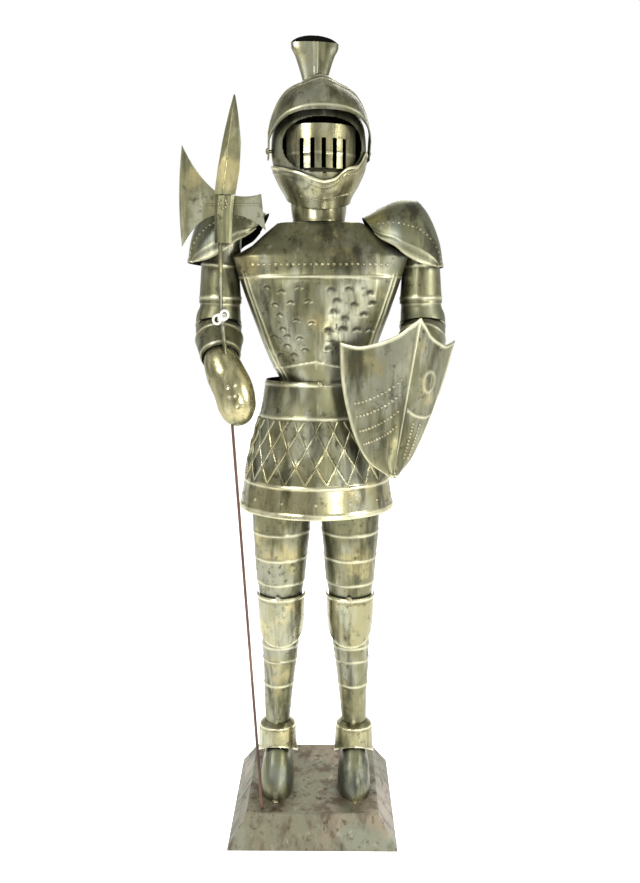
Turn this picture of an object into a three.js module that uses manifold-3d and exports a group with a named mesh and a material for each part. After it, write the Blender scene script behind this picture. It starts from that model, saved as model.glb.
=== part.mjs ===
// Display suit of plate armour: a hollow sheet-metal knight on a flared plinth, with a halberd
// and a shield. Millimetres, +Z up, the front of the figure looks along -Y, +X is to the right
// of someone who looks at its front.
import * as THREE from 'three';
import { mergeVertices } from 'three/addons/utils/BufferGeometryUtils.js';
import Module from 'manifold-3d';

const wasm = await Module();
wasm.setup();

// ---------------------------------------------------------------- driving sizes
const WALL = 1.5; // thickness of the sheet metal
const GAP = 0.4; // play between pieces that meet
const BEAD = 1.6; // height of a rolled bead above the sheet
const BEAD_REACH = 4; // half the width of a bead

const PLINTH = { height: 67, bottomHalf: 193, topHalf: 151 };
const LEG_MID = 5.5; // the figure leans: each storey has its own middle in X
const SKIRT_MID = 8;
const TRUNK_MID = 17;
const HEAD = { x: 13, y: 0, turn: 8 * Math.PI / 180 };
const PIVOT = { z: 1548, halfSpan: 111, holeRadius: 4.6, pinRadius: 4 };
const SHAFT = { y: -112, upperRadius: 4.5, lowerRadius: 3.2 };

// ---------------------------------------------------------------- finishes
const PATINA = { color: 0x7e8068, roughness: 0.45, metalness: 0.85 };
const FINISH = {
  plate: PATINA,
  dark: { color: 0x6c6d58, roughness: 0.5, metalness: 0.8 },
  brassy: { color: 0x9c8e5e, roughness: 0.4, metalness: 0.9 },
  plinth: { color: 0x77715c, roughness: 0.6, metalness: 0.7 },
  rod: { color: 0x5a3a2a, roughness: 0.5, metalness: 0.7 },
  tie: { color: 0xe9e3d0, roughness: 0.8, metalness: 0 },
};

// ---------------------------------------------------------------- small helpers
const lerp = (a, b, t) => a + (b - a) * t;
const power = (value, exponent) => Math.sign(value) * Math.abs(value) ** exponent;

/** Read a table with rows [key, value, ...] at any key, straight between the rows. */
function tableAt(table, key, column = 1) {
  if (key <= table[0][0]) return table[0][column];
  for (let i = 1; i < table.length; i += 1) {
    if (key <= table[i][0]) {
      const t = (key - table[i - 1][0]) / (table[i][0] - table[i - 1][0]);
      return lerp(table[i - 1][column], table[i][column], t);
    }
  }
  return table[table.length - 1][column];
}

/** Turn a list of vertices and triangles into a geometry whose faces point out. */
function solid(vertices, triangles) {
  const geometry = new THREE.BufferGeometry();
  geometry.setAttribute('position', new THREE.Float32BufferAttribute(vertices.flat(), 3));
  let volume = 0;
  for (const [a, b, c] of triangles) {
    const [p, q, r] = [vertices[a], vertices[b], vertices[c]];
    volume += p[0] * (q[1] * r[2] - q[2] * r[1])
      - p[1] * (q[0] * r[2] - q[2] * r[0])
      + p[2] * (q[0] * r[1] - q[1] * r[0]);
  }
  const facing = volume > 0 ? triangles : triangles.map(([a, b, c]) => [a, c, b]);
  geometry.setIndex(facing.flat());
  geometry.computeVertexNormals();
  return geometry;
}

/** Offset of every grid point along the surface normal, by finite differences. */
function offsetGrid(grid, distance, wrap) {
  const rows = grid.length;
  const count = grid[0].length;
  return grid.map((row, j) => row.map((point, k) => {
    const before = wrap ? grid[j][(k + count - 1) % count] : grid[j][Math.max(k - 1, 0)];
    const after = wrap ? grid[j][(k + 1) % count] : grid[j][Math.min(k + 1, count - 1)];
    const below = grid[Math.max(j - 1, 0)][k];
    const above = grid[Math.min(j + 1, rows - 1)][k];
    const along = new THREE.Vector3(...after).sub(new THREE.Vector3(...before));
    const up = new THREE.Vector3(...above).sub(new THREE.Vector3(...below));
    const normal = along.cross(up).normalize();
    return [point[0] - normal.x * distance, point[1] - normal.y * distance,
      point[2] - normal.z * distance];
  }));
}

/**
 * A wall between an outer and an inner grid of points (rows of equal length). With wrap the rows
 * are closed rings. present(j, k) leaves single cells out as windows, on grids of equal rows.
 */
function wall(outer, inner, wrap, present = () => true) {
  const count = outer[0].length;
  const cells = wrap ? count : count - 1;
  const vertices = [...outer.flat(), ...inner.flat()];
  const shift = outer.length * count;
  const out = (j, k) => j * count + (k % count);
  const inn = (j, k) => shift + j * count + (k % count);
  const triangles = [];
  const quad = (a, b, c, d) => triangles.push([a, b, c], [a, c, d]);
  const there = (j, k, rows) => j >= 0 && j < rows - 1
    && (wrap || (k >= 0 && k < cells)) && present(j, (k + cells) % cells);
  const sheets = [[out, outer.length], [inn, inner.length]];
  sheets.forEach(([at, rows], side) => {
    for (let j = 0; j < rows - 1; j += 1) {
      for (let k = 0; k < cells; k += 1) {
        if (there(j, k, rows)) {
          if (side === 0) quad(at(j, k), at(j, k + 1), at(j + 1, k + 1), at(j + 1, k));
          else quad(at(j, k), at(j + 1, k), at(j + 1, k + 1), at(j, k + 1));
        }
      }
    }
  });
  const top = [outer.length - 1, inner.length - 1];
  for (let k = 0; k < cells; k += 1) {
    if (there(0, k, outer.length)) quad(out(0, k + 1), out(0, k), inn(0, k), inn(0, k + 1));
    if (there(top[0] - 1, k, outer.length)) {
      quad(out(top[0], k), out(top[0], k + 1), inn(top[1], k + 1), inn(top[1], k));
    }
  }
  if (outer.length === inner.length) {
    for (let j = 0; j < outer.length - 1; j += 1) {
      for (let k = 0; k <= cells; k += 1) {
        const left = there(j, k - 1, outer.length) && (wrap || k > 0);
        const right = there(j, k, outer.length) && (wrap || k < cells);
        if (wrap && k === cells) continue;
        if (right && !left) quad(out(j + 1, k), inn(j + 1, k), inn(j, k), out(j, k));
        if (left && !right) quad(out(j, k), inn(j, k), inn(j + 1, k), out(j + 1, k));
      }
    }
    for (let j = 1; j < outer.length - 1; j += 1) {
      for (let k = 0; k < cells; k += 1) {
        const low = there(j - 1, k, outer.length);
        const high = there(j, k, outer.length);
        if (high && !low) quad(out(j, k + 1), out(j, k), inn(j, k), inn(j, k + 1));
        if (low && !high) quad(out(j, k), out(j, k + 1), inn(j, k + 1), inn(j, k));
      }
    }
  }
  return solid(vertices, triangles);
}

/** An open sheet: the grid is its outer face, the wall grows inwards. */
function sheet(grid, thickness = WALL, present = undefined) {
  return wall(grid, offsetGrid(grid, thickness, false), false, present);
}

/** One closed ring of points. The ring starts at the front and runs over +X to the back. */
function ring({ x = 0, y = 0, z, a, front, back }, sides, inset = 0, dip = 0) {
  return Array.from({ length: sides }, (_, k) => {
    const turn = 2 * Math.PI * k / sides;
    const depth = Math.cos(turn) > 0 ? front : back;
    const lower = dip * (1 + Math.cos(turn)) / 2;
    return [x + (a - inset) * Math.sin(turn), y - (depth - inset) * Math.cos(turn), z - lower];
  });
}

/** Rows of a beaded tube: each bead adds a foot, a crest and a foot to the plain stations. */
function beaded(stations, beads) {
  const at = (z, column) => tableAt(stations, z, column);
  const rows = [];
  const heights = [...stations.map((row) => [row[0], 0])];
  beads.forEach((z) => heights.push([z - BEAD_REACH, 0], [z, BEAD], [z + BEAD_REACH, 0]));
  heights.sort((p, q) => p[0] - q[0]);
  heights.forEach(([z, rise]) => {
    rows.push({ z, x: at(z, 1), a: at(z, 2) + rise, front: at(z, 3) + rise, back: at(z, 4) + rise });
  });
  return rows;
}

/** A tube of upright rings. stations: [z, x, half width, front depth, back depth]. */
function upright(stations, sides, { beads = [], y = 0, dip = () => 0 } = {}) {
  const plain = stations.map(([z, x, a, front, back]) => ({ z, x, a, front, back, y }));
  const outer = beaded(stations, beads).map((row) => ring({ ...row, y }, sides, 0, dip(row.z)));
  const thinned = plain.filter((_, i) => i % 2 === 0 || i === plain.length - 1);
  const kept = plain.length > 3 ? thinned : plain;
  const inner = kept.map((row) => ring(row, sides, WALL, dip(row.z)));
  return wall(outer, inner, true);
}

/** Ring of a bent tube: a station is [x, y, z, radius across, radius along the bend]. */
function bentRings(stations, sides, inset) {
  const centre = stations.map(([x, y, z]) => new THREE.Vector3(x, y, z));
  return stations.map(([, , , across, along], i) => {
    const ahead = centre[Math.min(i + 1, centre.length - 1)];
    const behind = centre[Math.max(i - 1, 0)];
    const tangent = ahead.clone().sub(behind).normalize();
    const side = new THREE.Vector3(1, 0, 0).addScaledVector(tangent, -tangent.x).normalize();
    const fore = side.clone().cross(tangent);
    return Array.from({ length: sides }, (_, k) => {
      const turn = 2 * Math.PI * k / sides;
      const point = centre[i].clone()
        .addScaledVector(side, (across - inset) * Math.sin(turn))
        .addScaledVector(fore, (along - inset) * Math.cos(turn));
      return point.toArray();
    });
  });
}

/** A bent open tube, such as an elbow sleeve or a gauntlet cuff. */
const bent = (stations, sides) => wall(
  bentRings(stations, sides, 0),
  bentRings(stations, sides, WALL),
  true,
);

/** A wall that is open below and closed over its last ring by a pole. */
function dome(outer, inner, outerPole, innerPole) {
  const sides = outer[0].length;
  const vertices = [...outer.flat(), ...inner.flat(), outerPole, innerPole];
  const shift = outer.length * sides;
  const triangles = [];
  const lay = (base, rows, pole, flip) => {
    const add = (a, b, c) => triangles.push(flip ? [a, c, b] : [a, b, c]);
    for (let k = 0; k < sides; k += 1) {
      const next = (k + 1) % sides;
      for (let j = 0; j < rows - 1; j += 1) {
        const [a, b] = [base + j * sides + k, base + j * sides + next];
        add(a, b, b + sides);
        add(a, b + sides, a + sides);
      }
      add(base + (rows - 1) * sides + k, base + (rows - 1) * sides + next, pole);
    }
  };
  lay(0, outer.length, vertices.length - 2, false);
  lay(shift, inner.length, vertices.length - 1, true);
  for (let k = 0; k < sides; k += 1) {
    const next = (k + 1) % sides;
    triangles.push([next, k, shift + k], [next, shift + k, shift + next]);
  }
  return solid(vertices, triangles);
}

/** Solid of the boolean library from a closed geometry, and back. */
function toManifold(geometry) {
  const bare = geometry.clone();
  bare.deleteAttribute('normal');
  bare.deleteAttribute('uv');
  const merged = mergeVertices(bare);
  return new wasm.Manifold(new wasm.Mesh({
    numProp: 3,
    vertProperties: new Float32Array(merged.attributes.position.array),
    triVerts: new Uint32Array(merged.index.array),
  }));
}

function fromManifold(shape) {
  const mesh = shape.getMesh();
  const geometry = new THREE.BufferGeometry();
  geometry.setAttribute('position', new THREE.BufferAttribute(mesh.vertProperties, 3));
  geometry.setIndex(new THREE.BufferAttribute(mesh.triVerts, 1));
  geometry.computeVertexNormals();
  return geometry;
}

/** The first geometry with every cutter taken away. */
function cut(geometry, ...cutters) {
  const start = toManifold(geometry);
  return fromManifold(cutters.reduce((left, tool) => left.subtract(toManifold(tool)), start));
}

/** A round bar from one point to another. */
function bar(from, to, radius, sides = 10) {
  const start = new THREE.Vector3(...from);
  const end = new THREE.Vector3(...to);
  const geometry = new THREE.CylinderGeometry(radius, radius, start.distanceTo(end), sides);
  const turn = new THREE.Quaternion().setFromUnitVectors(
    new THREE.Vector3(0, 1, 0),
    end.clone().sub(start).normalize(),
  );
  geometry.applyQuaternion(turn);
  const middle = start.add(end).multiplyScalar(0.5);
  geometry.translate(middle.x, middle.y, middle.z);
  return geometry;
}

const figure = new THREE.Group();

/** Add a named piece to a group. */
function piece(group, name, geometry, finish = FINISH.plate) {
  const mesh = new THREE.Mesh(geometry, new THREE.MeshStandardMaterial(finish));
  mesh.name = name;
  group.add(mesh);
  return mesh;
}

// ---------------------------------------------------------------- plinth
/** One flared side panel, its lower edge on the ground, turned to its side of the plinth. */
function plinthPanel(quarter) {
  const { height, bottomHalf, topHalf } = PLINTH;
  const slope = (bottomHalf - topHalf) / height;
  const under = height - WALL - GAP;
  const shorten = quarter % 2 ? 2 * WALL : 0;
  const half = (z, inset) => bottomHalf - slope * z - inset - shorten;
  const depth = (z, inset) => -(bottomHalf - slope * z - inset);
  const corner = (side, z, inset) => [side * half(z, 0) - side * GAP, depth(z, inset), z];
  const face = (inset) => [
    [corner(-1, 0, inset), corner(1, 0, inset)],
    [corner(-1, under, inset), corner(1, under, inset)],
  ];
  const geometry = wall(face(0), face(WALL), false);
  return geometry.rotateZ(quarter * Math.PI / 2);
}

['plinth_front', 'plinth_right', 'plinth_back', 'plinth_left'].forEach((name, quarter) => {
  piece(figure, name, plinthPanel(quarter), FINISH.plinth);
});
const plinthTop = new THREE.BoxGeometry(2 * PLINTH.topHalf, 2 * PLINTH.topHalf, WALL);
plinthTop.translate(0, 0, PLINTH.height - WALL / 2);
piece(figure, 'plinth_top', plinthTop, FINISH.plinth);

// ---------------------------------------------------------------- legs
const LEG_SIDES = 16;
// [z, distance from the middle of the legs, half width, front depth, back depth]
const SHIN = [
  [172, 94, 27, 28, 27], [222, 93, 29.3, 30, 29], [320, 89, 36, 37, 36],
  [385, 86, 41, 43, 41], [425, 84.5, 44, 46, 43], [499.6, 82, 47, 49, 44],
];
const SHIN_BEADS = [318, 382, 417];
const THIGH = [
  [500, 82, 47.2, 49.2, 44.2], [552, 82.5, 52, 54, 50], [588, 82, 58, 58, 55],
  [650, 81.5, 63, 63, 60], [705, 80.5, 67, 66, 64], [800, 80, 69.5, 69, 67],
];
const THIGH_BEADS = [579, 639, 700];
const KNEE = { bottom: 424, top: 546, sideLift: 46, wrap: 100 * Math.PI / 180 };
// [z, half width, front depth]
const KNEE_ROWS = [[424, 49, 52], [455, 51.5, 57], [495, 55.4, 61], [534, 56, 61], [546, 56, 60]];
// [y, half width, height over the plinth]
const SHOE = [
  [-106, 4, 5], [-100, 17, 26], [-88, 29, 52], [-68, 36, 82], [-45, 38.5, 102],
  [-10, 38.5, 104], [20, 36, 103], [31, 27, 96], [38, 10, 84],
];
const SHOE_ARCH = 8;
const CUFF = { top: 222, low: 138, arch: 36, y: -2 };
// [height share, half width, front depth, back depth]
const CUFF_ROWS = [[0, 47.5, 52, 46], [0.5, 45.5, 49, 44], [0.9, 42.5, 45, 41], [1, 30.2, 28.9, 31.9]];

function shoe(middle) {
  const floor = PLINTH.height + GAP;
  const grid = SHOE.map(([y, half, height]) => Array.from({ length: SHOE_ARCH + 1 }, (_, k) => {
    const turn = Math.PI * k / SHOE_ARCH;
    return [
      middle - half * power(Math.cos(turn), 0.8),
      y,
      floor + height * power(Math.sin(turn), 0.8),
    ];
  }));
  const inner = offsetGrid(grid, -WALL, false);
  inner.forEach((row) => [row[0], row[SHOE_ARCH]].forEach((point) => { point[2] = floor; }));
  return wall(grid, inner, false);
}

function ankleCuff(middle) {
  const rings = (inset) => CUFF_ROWS.map(([share, a, front, back]) => Array.from(
    { length: LEG_SIDES },
    (_, k) => {
      const turn = 2 * Math.PI * k / LEG_SIDES;
      const cosine = Math.cos(turn);
      const low = CUFF.low + CUFF.arch * Math.max(cosine, 0) ** 1.2;
      return [
        middle + (a - inset) * Math.sin(turn),
        CUFF.y - ((cosine > 0 ? front : back) - inset) * cosine,
        lerp(low, CUFF.top, share),
      ];
    },
  ));
  const inner = rings(WALL);
  inner[2] = inner[2].map(([x, y, z]) => [x, y, z - WALL]);
  inner[3] = rings(0)[3].map(([x, y, z]) => [x, y, z - WALL]);
  return wall(rings(0), inner, true);
}

function kneeCop(middle) {
  const columns = 12;
  const levels = [0, 0.25, 0.55, 0.86, 1];
  const grid = levels.map((level) => Array.from({ length: columns + 1 }, (_, k) => {
    const turn = lerp(-KNEE.wrap, KNEE.wrap, k / columns);
    const low = KNEE.bottom + KNEE.sideLift * (1 - Math.cos(turn)) ** 1.3;
    const z = lerp(low, KNEE.top, level);
    return [
      middle + tableAt(KNEE_ROWS, z, 1) * Math.sin(turn),
      -tableAt(KNEE_ROWS, z, 2) * Math.cos(turn),
      z,
    ];
  }));
  return sheet(grid);
}

const sided = (stations, side) => stations.map(([z, x, ...rest]) => [z, LEG_MID + side * x, ...rest]);

[['left', -1], ['right', 1]].forEach(([hand, side]) => {
  const ankle = LEG_MID + side * tableAt(SHIN, CUFF.top);
  const knee = LEG_MID + side * tableAt(SHIN, KNEE.top);
  piece(figure, `shoe_${hand}`, shoe(ankle), FINISH.dark);
  piece(figure, `ankle_cuff_${hand}`, ankleCuff(ankle), FINISH.brassy);
  piece(figure, `shin_${hand}`, upright(sided(SHIN, side), LEG_SIDES, { beads: SHIN_BEADS }));
  piece(figure, `thigh_${hand}`, upright(sided(THIGH, side), LEG_SIDES, { beads: THIGH_BEADS }));
  piece(figure, `knee_cop_${hand}`, kneeCop(knee), FINISH.brassy);
});

// ---------------------------------------------------------------- skirt
const SKIRT_SIDES = 28;
const HEM = [[764, SKIRT_MID, 178.5, 146, 140], [834.6, SKIRT_MID, 165.5, 135, 130]];
const LATTICE = [
  [835, SKIRT_MID, 165.5, 135, 130], [900, SKIRT_MID, 150, 122, 118],
  [965.6, SKIRT_MID, 132, 110, 106],
];
const BELT = [
  [966, SKIRT_MID, 132, 110, 106], [1000, SKIRT_MID, 124.5, 104, 101],
  [1052, SKIRT_MID, 115.5, 98.6, 95.6],
];
const HIP_PLATE_Z = 800.4;

const hemDip = (z) => tableAt([[764, 10], [834, 6], [965, 0]], z);
piece(figure, 'skirt_hem', upright(HEM, SKIRT_SIDES, { beads: [771, 828], dip: hemDip }), FINISH.brassy);
piece(figure, 'skirt_lattice', upright(LATTICE, SKIRT_SIDES, { dip: hemDip }));
piece(figure, 'skirt_belt', upright(BELT, SKIRT_SIDES, { beads: [972, 1044], dip: hemDip }));

const hipShape = new THREE.Shape();
const hipInset = WALL + GAP + 1;
hipShape.absellipse(SKIRT_MID, 0, tableAt(HEM, HIP_PLATE_Z, 2) - hipInset,
  tableAt(HEM, HIP_PLATE_Z, 4) - hipInset, 0, 2 * Math.PI);
const hipPlate = new THREE.ExtrudeGeometry(hipShape, { depth: WALL, bevelEnabled: false, curveSegments: 14 });
piece(figure, 'hip_plate', hipPlate.translate(0, 0, HIP_PLATE_Z), FINISH.dark);

// ---------------------------------------------------------------- trunk
// [z, half width, y of the side edge, depth in the middle]
const BREAST = [
  [1024, 90, -GAP, 92], [1056, 94, -GAP, 96], [1096, 114, -GAP, 103], [1140, 132, -GAP, 108],
  [1200, 155, -GAP, 111], [1248, 171, -6, 111], [1290, 183, -28, 106], [1322, 191, -46, 99],
  [1345, 148, -46, 86], [1370, 121, -40, 70], [1393.6, 94, -34, 56],
];
const BACK = [
  [1024, 89, -GAP, 87], [1056, 93, -GAP, 89], [1096, 114, -GAP, 96], [1160, 140, -GAP, 102], [1248, 171, -6, 106],
  [1290, 183, -28, 104], [1322, 191, -46, 98], [1345, 148, -46, 90], [1370, 121, -40, 76],
  [1393.6, 94, -34, 57],
];
const PLAN_POWER = [[1056, 1], [1120, 0.8]]; // below 1 squares the plan of the trunk
const RIDGE = { height: 5, reach: 0.12 };
const RIDGE_FADE = [[1060, 0], [1096, 1], [1280, 1], [1322, 0]];

function trunkPanel(rows, columns, facing, ridge) {
  const grid = rows.map(([z, half, sideY, depth]) => Array.from({ length: columns + 1 }, (_, k) => {
    const turn = lerp(-Math.PI / 2, Math.PI / 2, k / columns);
    const keel = ridge * RIDGE.height * tableAt(RIDGE_FADE, z)
      * Math.exp(-((Math.sin(turn) / RIDGE.reach) ** 2));
    const bulge = (depth + sideY) * Math.abs(Math.cos(turn)) ** tableAt(PLAN_POWER, z) + keel;
    return [
      TRUNK_MID + facing * half * power(Math.sin(turn), tableAt(PLAN_POWER, z)),
      facing * (sideY - bulge),
      z,
    ];
  }));
  return sheet(grid);
}

piece(figure, 'breastplate', trunkPanel(BREAST, 14, 1, 1));
piece(figure, 'backplate', trunkPanel(BACK, 10, -1, 0));

const shoulderOutline = Array.from({ length: 28 }, (_, k) => {
  const turn = 2 * Math.PI * k / 28;
  return new THREE.Vector2(TRUNK_MID + 94 * power(Math.sin(turn), 0.6), -53 * power(Math.cos(turn), 0.7));
});
const shoulderShape = new THREE.Shape(shoulderOutline);
const neckHole = new THREE.Path();
neckHole.absellipse(HEAD.x, 0, 50, 48, 0, 2 * Math.PI, true);
shoulderShape.holes.push(neckHole);
const shoulderPlate = new THREE.ExtrudeGeometry(shoulderShape, {
  depth: WALL, bevelEnabled: false, curveSegments: 10,
});
piece(figure, 'shoulder_plate', shoulderPlate.translate(0, 0, 1394));

// ---------------------------------------------------------------- arms
const ARM_SIDES = 16;
// Distances across are from TRUNK_MID; [across, y, z, radius across, radius along]
const UPPER_ARM = [
  [210, 0, 1388, 36, 36], [219, 0, 1340, 41, 40], [225, 0, 1290, 43, 43], [226, 0, 1222, 47.5, 47],
];
const ELBOW = [
  [225.5, 0, 1232, 42, 42], [227.5, 0.5, 1206, 46.5, 46.5], [231, 2, 1182, 51, 50],
  [230.5, -7, 1161, 51, 48], [228, -26, 1148, 48, 46], [224, -47, 1133, 45, 44],
];
const CUFF_LINE = [
  [226, -34, 1143, 53, 49], [222, -58, 1124, 48, 45], [217, -84, 1103, 41.5, 40],
];
const HAND = [
  [218.5, -76, 1109, 36.5, 34], [213, -95, 1093, 39, 33], [203, -103, 1068, 42.5, 37], [188, -109, 1036, 43.5, 37],
  [181, -112, 1003, 42, 34], [180, -112, 976, 32, 25], [180, -112, 963, 19, 14],
];
const HAND_TIP = [180, -112, 957];

/** Mirror a table of arm stations to its side and place it beside the trunk. */
const placed = (stations, side) => stations.map(([x, ...rest]) => [TRUNK_MID + side * x, ...rest]);

function hand(side) {
  const stations = placed(HAND, side).reverse();
  const outer = bentRings(stations, ARM_SIDES, 0);
  const inner = bentRings(stations, ARM_SIDES, WALL);
  const tip = [TRUNK_MID + side * HAND_TIP[0], HAND_TIP[1], HAND_TIP[2]];
  const innerTip = [tip[0], tip[1], tip[2] + WALL];
  return dome(outer.reverse(), inner.reverse(), tip, innerTip);
}

// Pauldron: [x and z on the crest line, x and z on the lower rim, half depth at the rim]
const PAULDRON = [
  [92, 1409, 119, 1370, 56], [118, 1424, 134, 1355, 72], [148, 1441, 158, 1342, 84],
  [180, 1450, 182, 1322, 92], [205, 1449, 204, 1310, 93], [226, 1432, 222, 1303, 90],
  [248, 1396, 238, 1300, 85], [265, 1347, 248, 1299, 80], [272, 1300, 252, 1298.5, 74],
];
const PAULDRON_COLUMNS = 10;

function pauldron(side, shiftX, shiftZ) {
  const grid = PAULDRON.map(([crestX, crestZ, rimX, rimZ, depth]) => Array.from(
    { length: PAULDRON_COLUMNS + 1 },
    (_, k) => {
      const turn = lerp(-Math.PI / 2, Math.PI / 2, k / PAULDRON_COLUMNS);
      const fall = 1 - Math.cos(turn);
      return [
        TRUNK_MID + side * (lerp(crestX, rimX, fall) + shiftX),
        side * depth * Math.sin(turn),
        lerp(crestZ, rimZ, fall) + shiftZ,
      ];
    },
  ));
  return sheet(grid);
}

// ---------------------------------------------------------------- halberd line
const ROD_TOP = [-192, SHAFT.y, 1412];
const ROD_BEND = [-194, SHAFT.y, 1213];
const ROD_END = [-179.4, -115, 1048];
const LOWER_TOP = [-178.5, -116, 1045];
const LOWER_FOOT = [-116.5, -139, 67.5];

[['left', -1], ['right', 1]].forEach(([name, side]) => {
  piece(figure, `upper_arm_${name}`, bent(placed(UPPER_ARM, side), ARM_SIDES));
  piece(figure, `elbow_${name}`, bent(placed(ELBOW, side), ARM_SIDES), FINISH.dark);
  piece(figure, `gauntlet_cuff_${name}`, bent(placed(CUFF_LINE, side), ARM_SIDES));
  const lifted = side < 0 ? [22, 10] : [0, 0];
  piece(figure, `pauldron_${name}`, pauldron(side, ...lifted), FINISH.dark);
});
piece(figure, 'hand_right', hand(1), FINISH.brassy);
const shaftHoles = [
  bar(ROD_BEND, ROD_END, SHAFT.upperRadius + 1.5),
  bar(LOWER_TOP, [-150, -128, 590], SHAFT.lowerRadius + 1.5),
];
piece(figure, 'hand_left', cut(hand(-1), ...shaftHoles), FINISH.brassy);

// ---------------------------------------------------------------- halberd
const HEAD_PLATE = { y: -118, thickness: 2 };

/** The axe blade and the beak are one flat sheet in front of the rod. */
function axePlate() {
  const shape = new THREE.Shape();
  shape.moveTo(-267, 1543);
  shape.quadraticCurveTo(-281, 1440, -272, 1338);
  shape.quadraticCurveTo(-240, 1395, -203, 1402);
  shape.lineTo(-165, 1403);
  shape.quadraticCurveTo(-128, 1401, -96, 1371);
  shape.quadraticCurveTo(-101, 1402, -105, 1445);
  shape.quadraticCurveTo(-130, 1437, -157, 1441);
  shape.lineTo(-198, 1449);
  shape.quadraticCurveTo(-240, 1482, -267, 1543);
  const plate = new THREE.ExtrudeGeometry(shape, {
    depth: HEAD_PLATE.thickness, bevelEnabled: false, curveSegments: 8,
  });
  return plate.rotateX(Math.PI / 2).translate(0, HEAD_PLATE.y, 0);
}

// [z, left edge, ridge, right edge] of the folded spike in front of the plate
const SPIKE = [
  [1443, -202, -184, -158], [1490, -195, -177, -149], [1545, -184, -170, -145],
  [1575, -177, -166, -147], [1612, -167, -160, -151], [1640, -158.5, -157, -155.5],
];
const SPIKE_FOLD = 7;
const SPIKE_FRONT = HEAD_PLATE.y - HEAD_PLATE.thickness - GAP - WALL;

function spike() {
  const grid = SPIKE.map(([z, left, ridge, right]) => {
    const fold = Math.min(SPIKE_FOLD, (right - left) / 4);
    return [[left, SPIKE_FRONT, z], [ridge, SPIKE_FRONT - fold, z], [right, SPIKE_FRONT, z]];
  });
  return sheet(grid);
}

/** Sheet strap that runs from the blade down over the rod. */
function socket() {
  const columns = 6;
  const rows = [[1345, -203, -167], [1375, -203, -166], [1402, -202, -165], [1441, -200, -160]];
  const grid = rows.map(([z, left, right]) => Array.from({ length: columns + 1 }, (_, k) => {
    const share = k / columns;
    const round = SPIKE_FOLD * Math.sin(Math.PI * share) ** 0.7;
    return [lerp(left, right, share), SPIKE_FRONT - round, z];
  }));
  return sheet(grid);
}

const upperRod = () => {
  const points = [ROD_TOP, ROD_BEND, ROD_END];
  const rings = bentRings(
    points.map((point) => [...point, SHAFT.upperRadius, SHAFT.upperRadius]).reverse(),
    10,
    0,
  );
  return rodSolid(rings.reverse());
};

/** A filled bar through a row of rings. */
function rodSolid(rings) {
  const sides = rings[0].length;
  const vertices = rings.flat();
  const triangles = [];
  for (let j = 0; j < rings.length - 1; j += 1) {
    for (let k = 0; k < sides; k += 1) {
      const [a, b] = [j * sides + k, j * sides + (k + 1) % sides];
      triangles.push([a, b, b + sides], [a, b + sides, a + sides]);
    }
  }
  const last = (rings.length - 1) * sides;
  for (let k = 1; k < sides - 1; k += 1) {
    triangles.push([0, k + 1, k], [last, last + k, last + k + 1]);
  }
  return solid(vertices, triangles);
}

piece(figure, 'halberd_axe', axePlate());
piece(figure, 'halberd_spike', spike());
piece(figure, 'halberd_socket', socket());
piece(figure, 'halberd_upper_rod', upperRod());
piece(figure, 'halberd_lower_rod', bar(LOWER_FOOT, LOWER_TOP, SHAFT.lowerRadius, 8), FINISH.rod);

const TIE = { z: 1192, x: -192.6, y: SHAFT.y, outer: 10, height: 17 };
const tie = new THREE.LatheGeometry([
  new THREE.Vector2(SHAFT.upperRadius + 1, -TIE.height / 2),
  new THREE.Vector2(TIE.outer, -TIE.height / 3),
  new THREE.Vector2(TIE.outer, TIE.height / 3),
  new THREE.Vector2(SHAFT.upperRadius + 1, TIE.height / 2),
  new THREE.Vector2(SHAFT.upperRadius + 1, -TIE.height / 2),
], 10);
tie.rotateX(Math.PI / 2);
piece(figure, 'tie', cut(tie.translate(TIE.x, TIE.y, TIE.z), bar(ROD_BEND, ROD_END, 5)), FINISH.tie);

// ---------------------------------------------------------------- shield
const SHIELD = {
  x: 213, y: -186, top: 1141, tip: 859, halfWidth: 162, fold: 33 * Math.PI / 180,
  turn: 20 * Math.PI / 180, lean: 45, wall: 2,
};
// [share of the half width, height of the top edge over the corners]
const SHIELD_TOP = [[0, 50], [0.12, 36], [0.3, 14], [0.5, 1], [0.75, -8], [1, 0]];
// [share of the height from the top, share of the half width]
const SHIELD_SIDE = [[0, 1], [0.27, 0.9], [0.5, 0.76], [0.72, 0.58], [0.88, 0.38], [1, 0.04]];

function shieldPoint(across, down, lift = 0) {
  const width = tableAt(SHIELD_SIDE, down) * SHIELD.halfWidth * across;
  const top = SHIELD.top + tableAt(SHIELD_TOP, Math.abs(across));
  const z = lerp(top, SHIELD.tip, down);
  const flat = Math.abs(width) * Math.cos(SHIELD.fold) * Math.sign(across);
  const deep = Math.abs(width) * Math.sin(SHIELD.fold) - 10 * Math.sin(Math.PI * Math.abs(across));
  const [cosine, sine] = [Math.cos(SHIELD.turn), Math.sin(SHIELD.turn)];
  const slant = SHIELD.lean * (SHIELD.top + 45 - z) / (SHIELD.top - SHIELD.tip);
  return [
    SHIELD.x + 10 - slant + flat * cosine - (deep + lift) * sine,
    SHIELD.y + flat * sine + (deep + lift) * cosine,
    z,
  ];
}

const shieldAcross = [-1, -0.75, -0.5, -0.3, -0.12, 0, 0.12, 0.3, 0.5, 0.75, 1];
const shieldGrid = SHIELD_SIDE.map(([down]) => shieldAcross.map((across) => shieldPoint(across, down)))
  .reverse();
piece(figure, 'shield', sheet(shieldGrid, SHIELD.wall));

// Bracket that joins the shield to the gauntlet behind it, and where it laps the shield.
const BRACKET_REACH = 0.3;
const BRACKET = { low: 1016, high: 1044, play: 3.4, front: -149, step: 6, lap: 16,
  left: 186, bend: 194, right: 222 };

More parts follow.
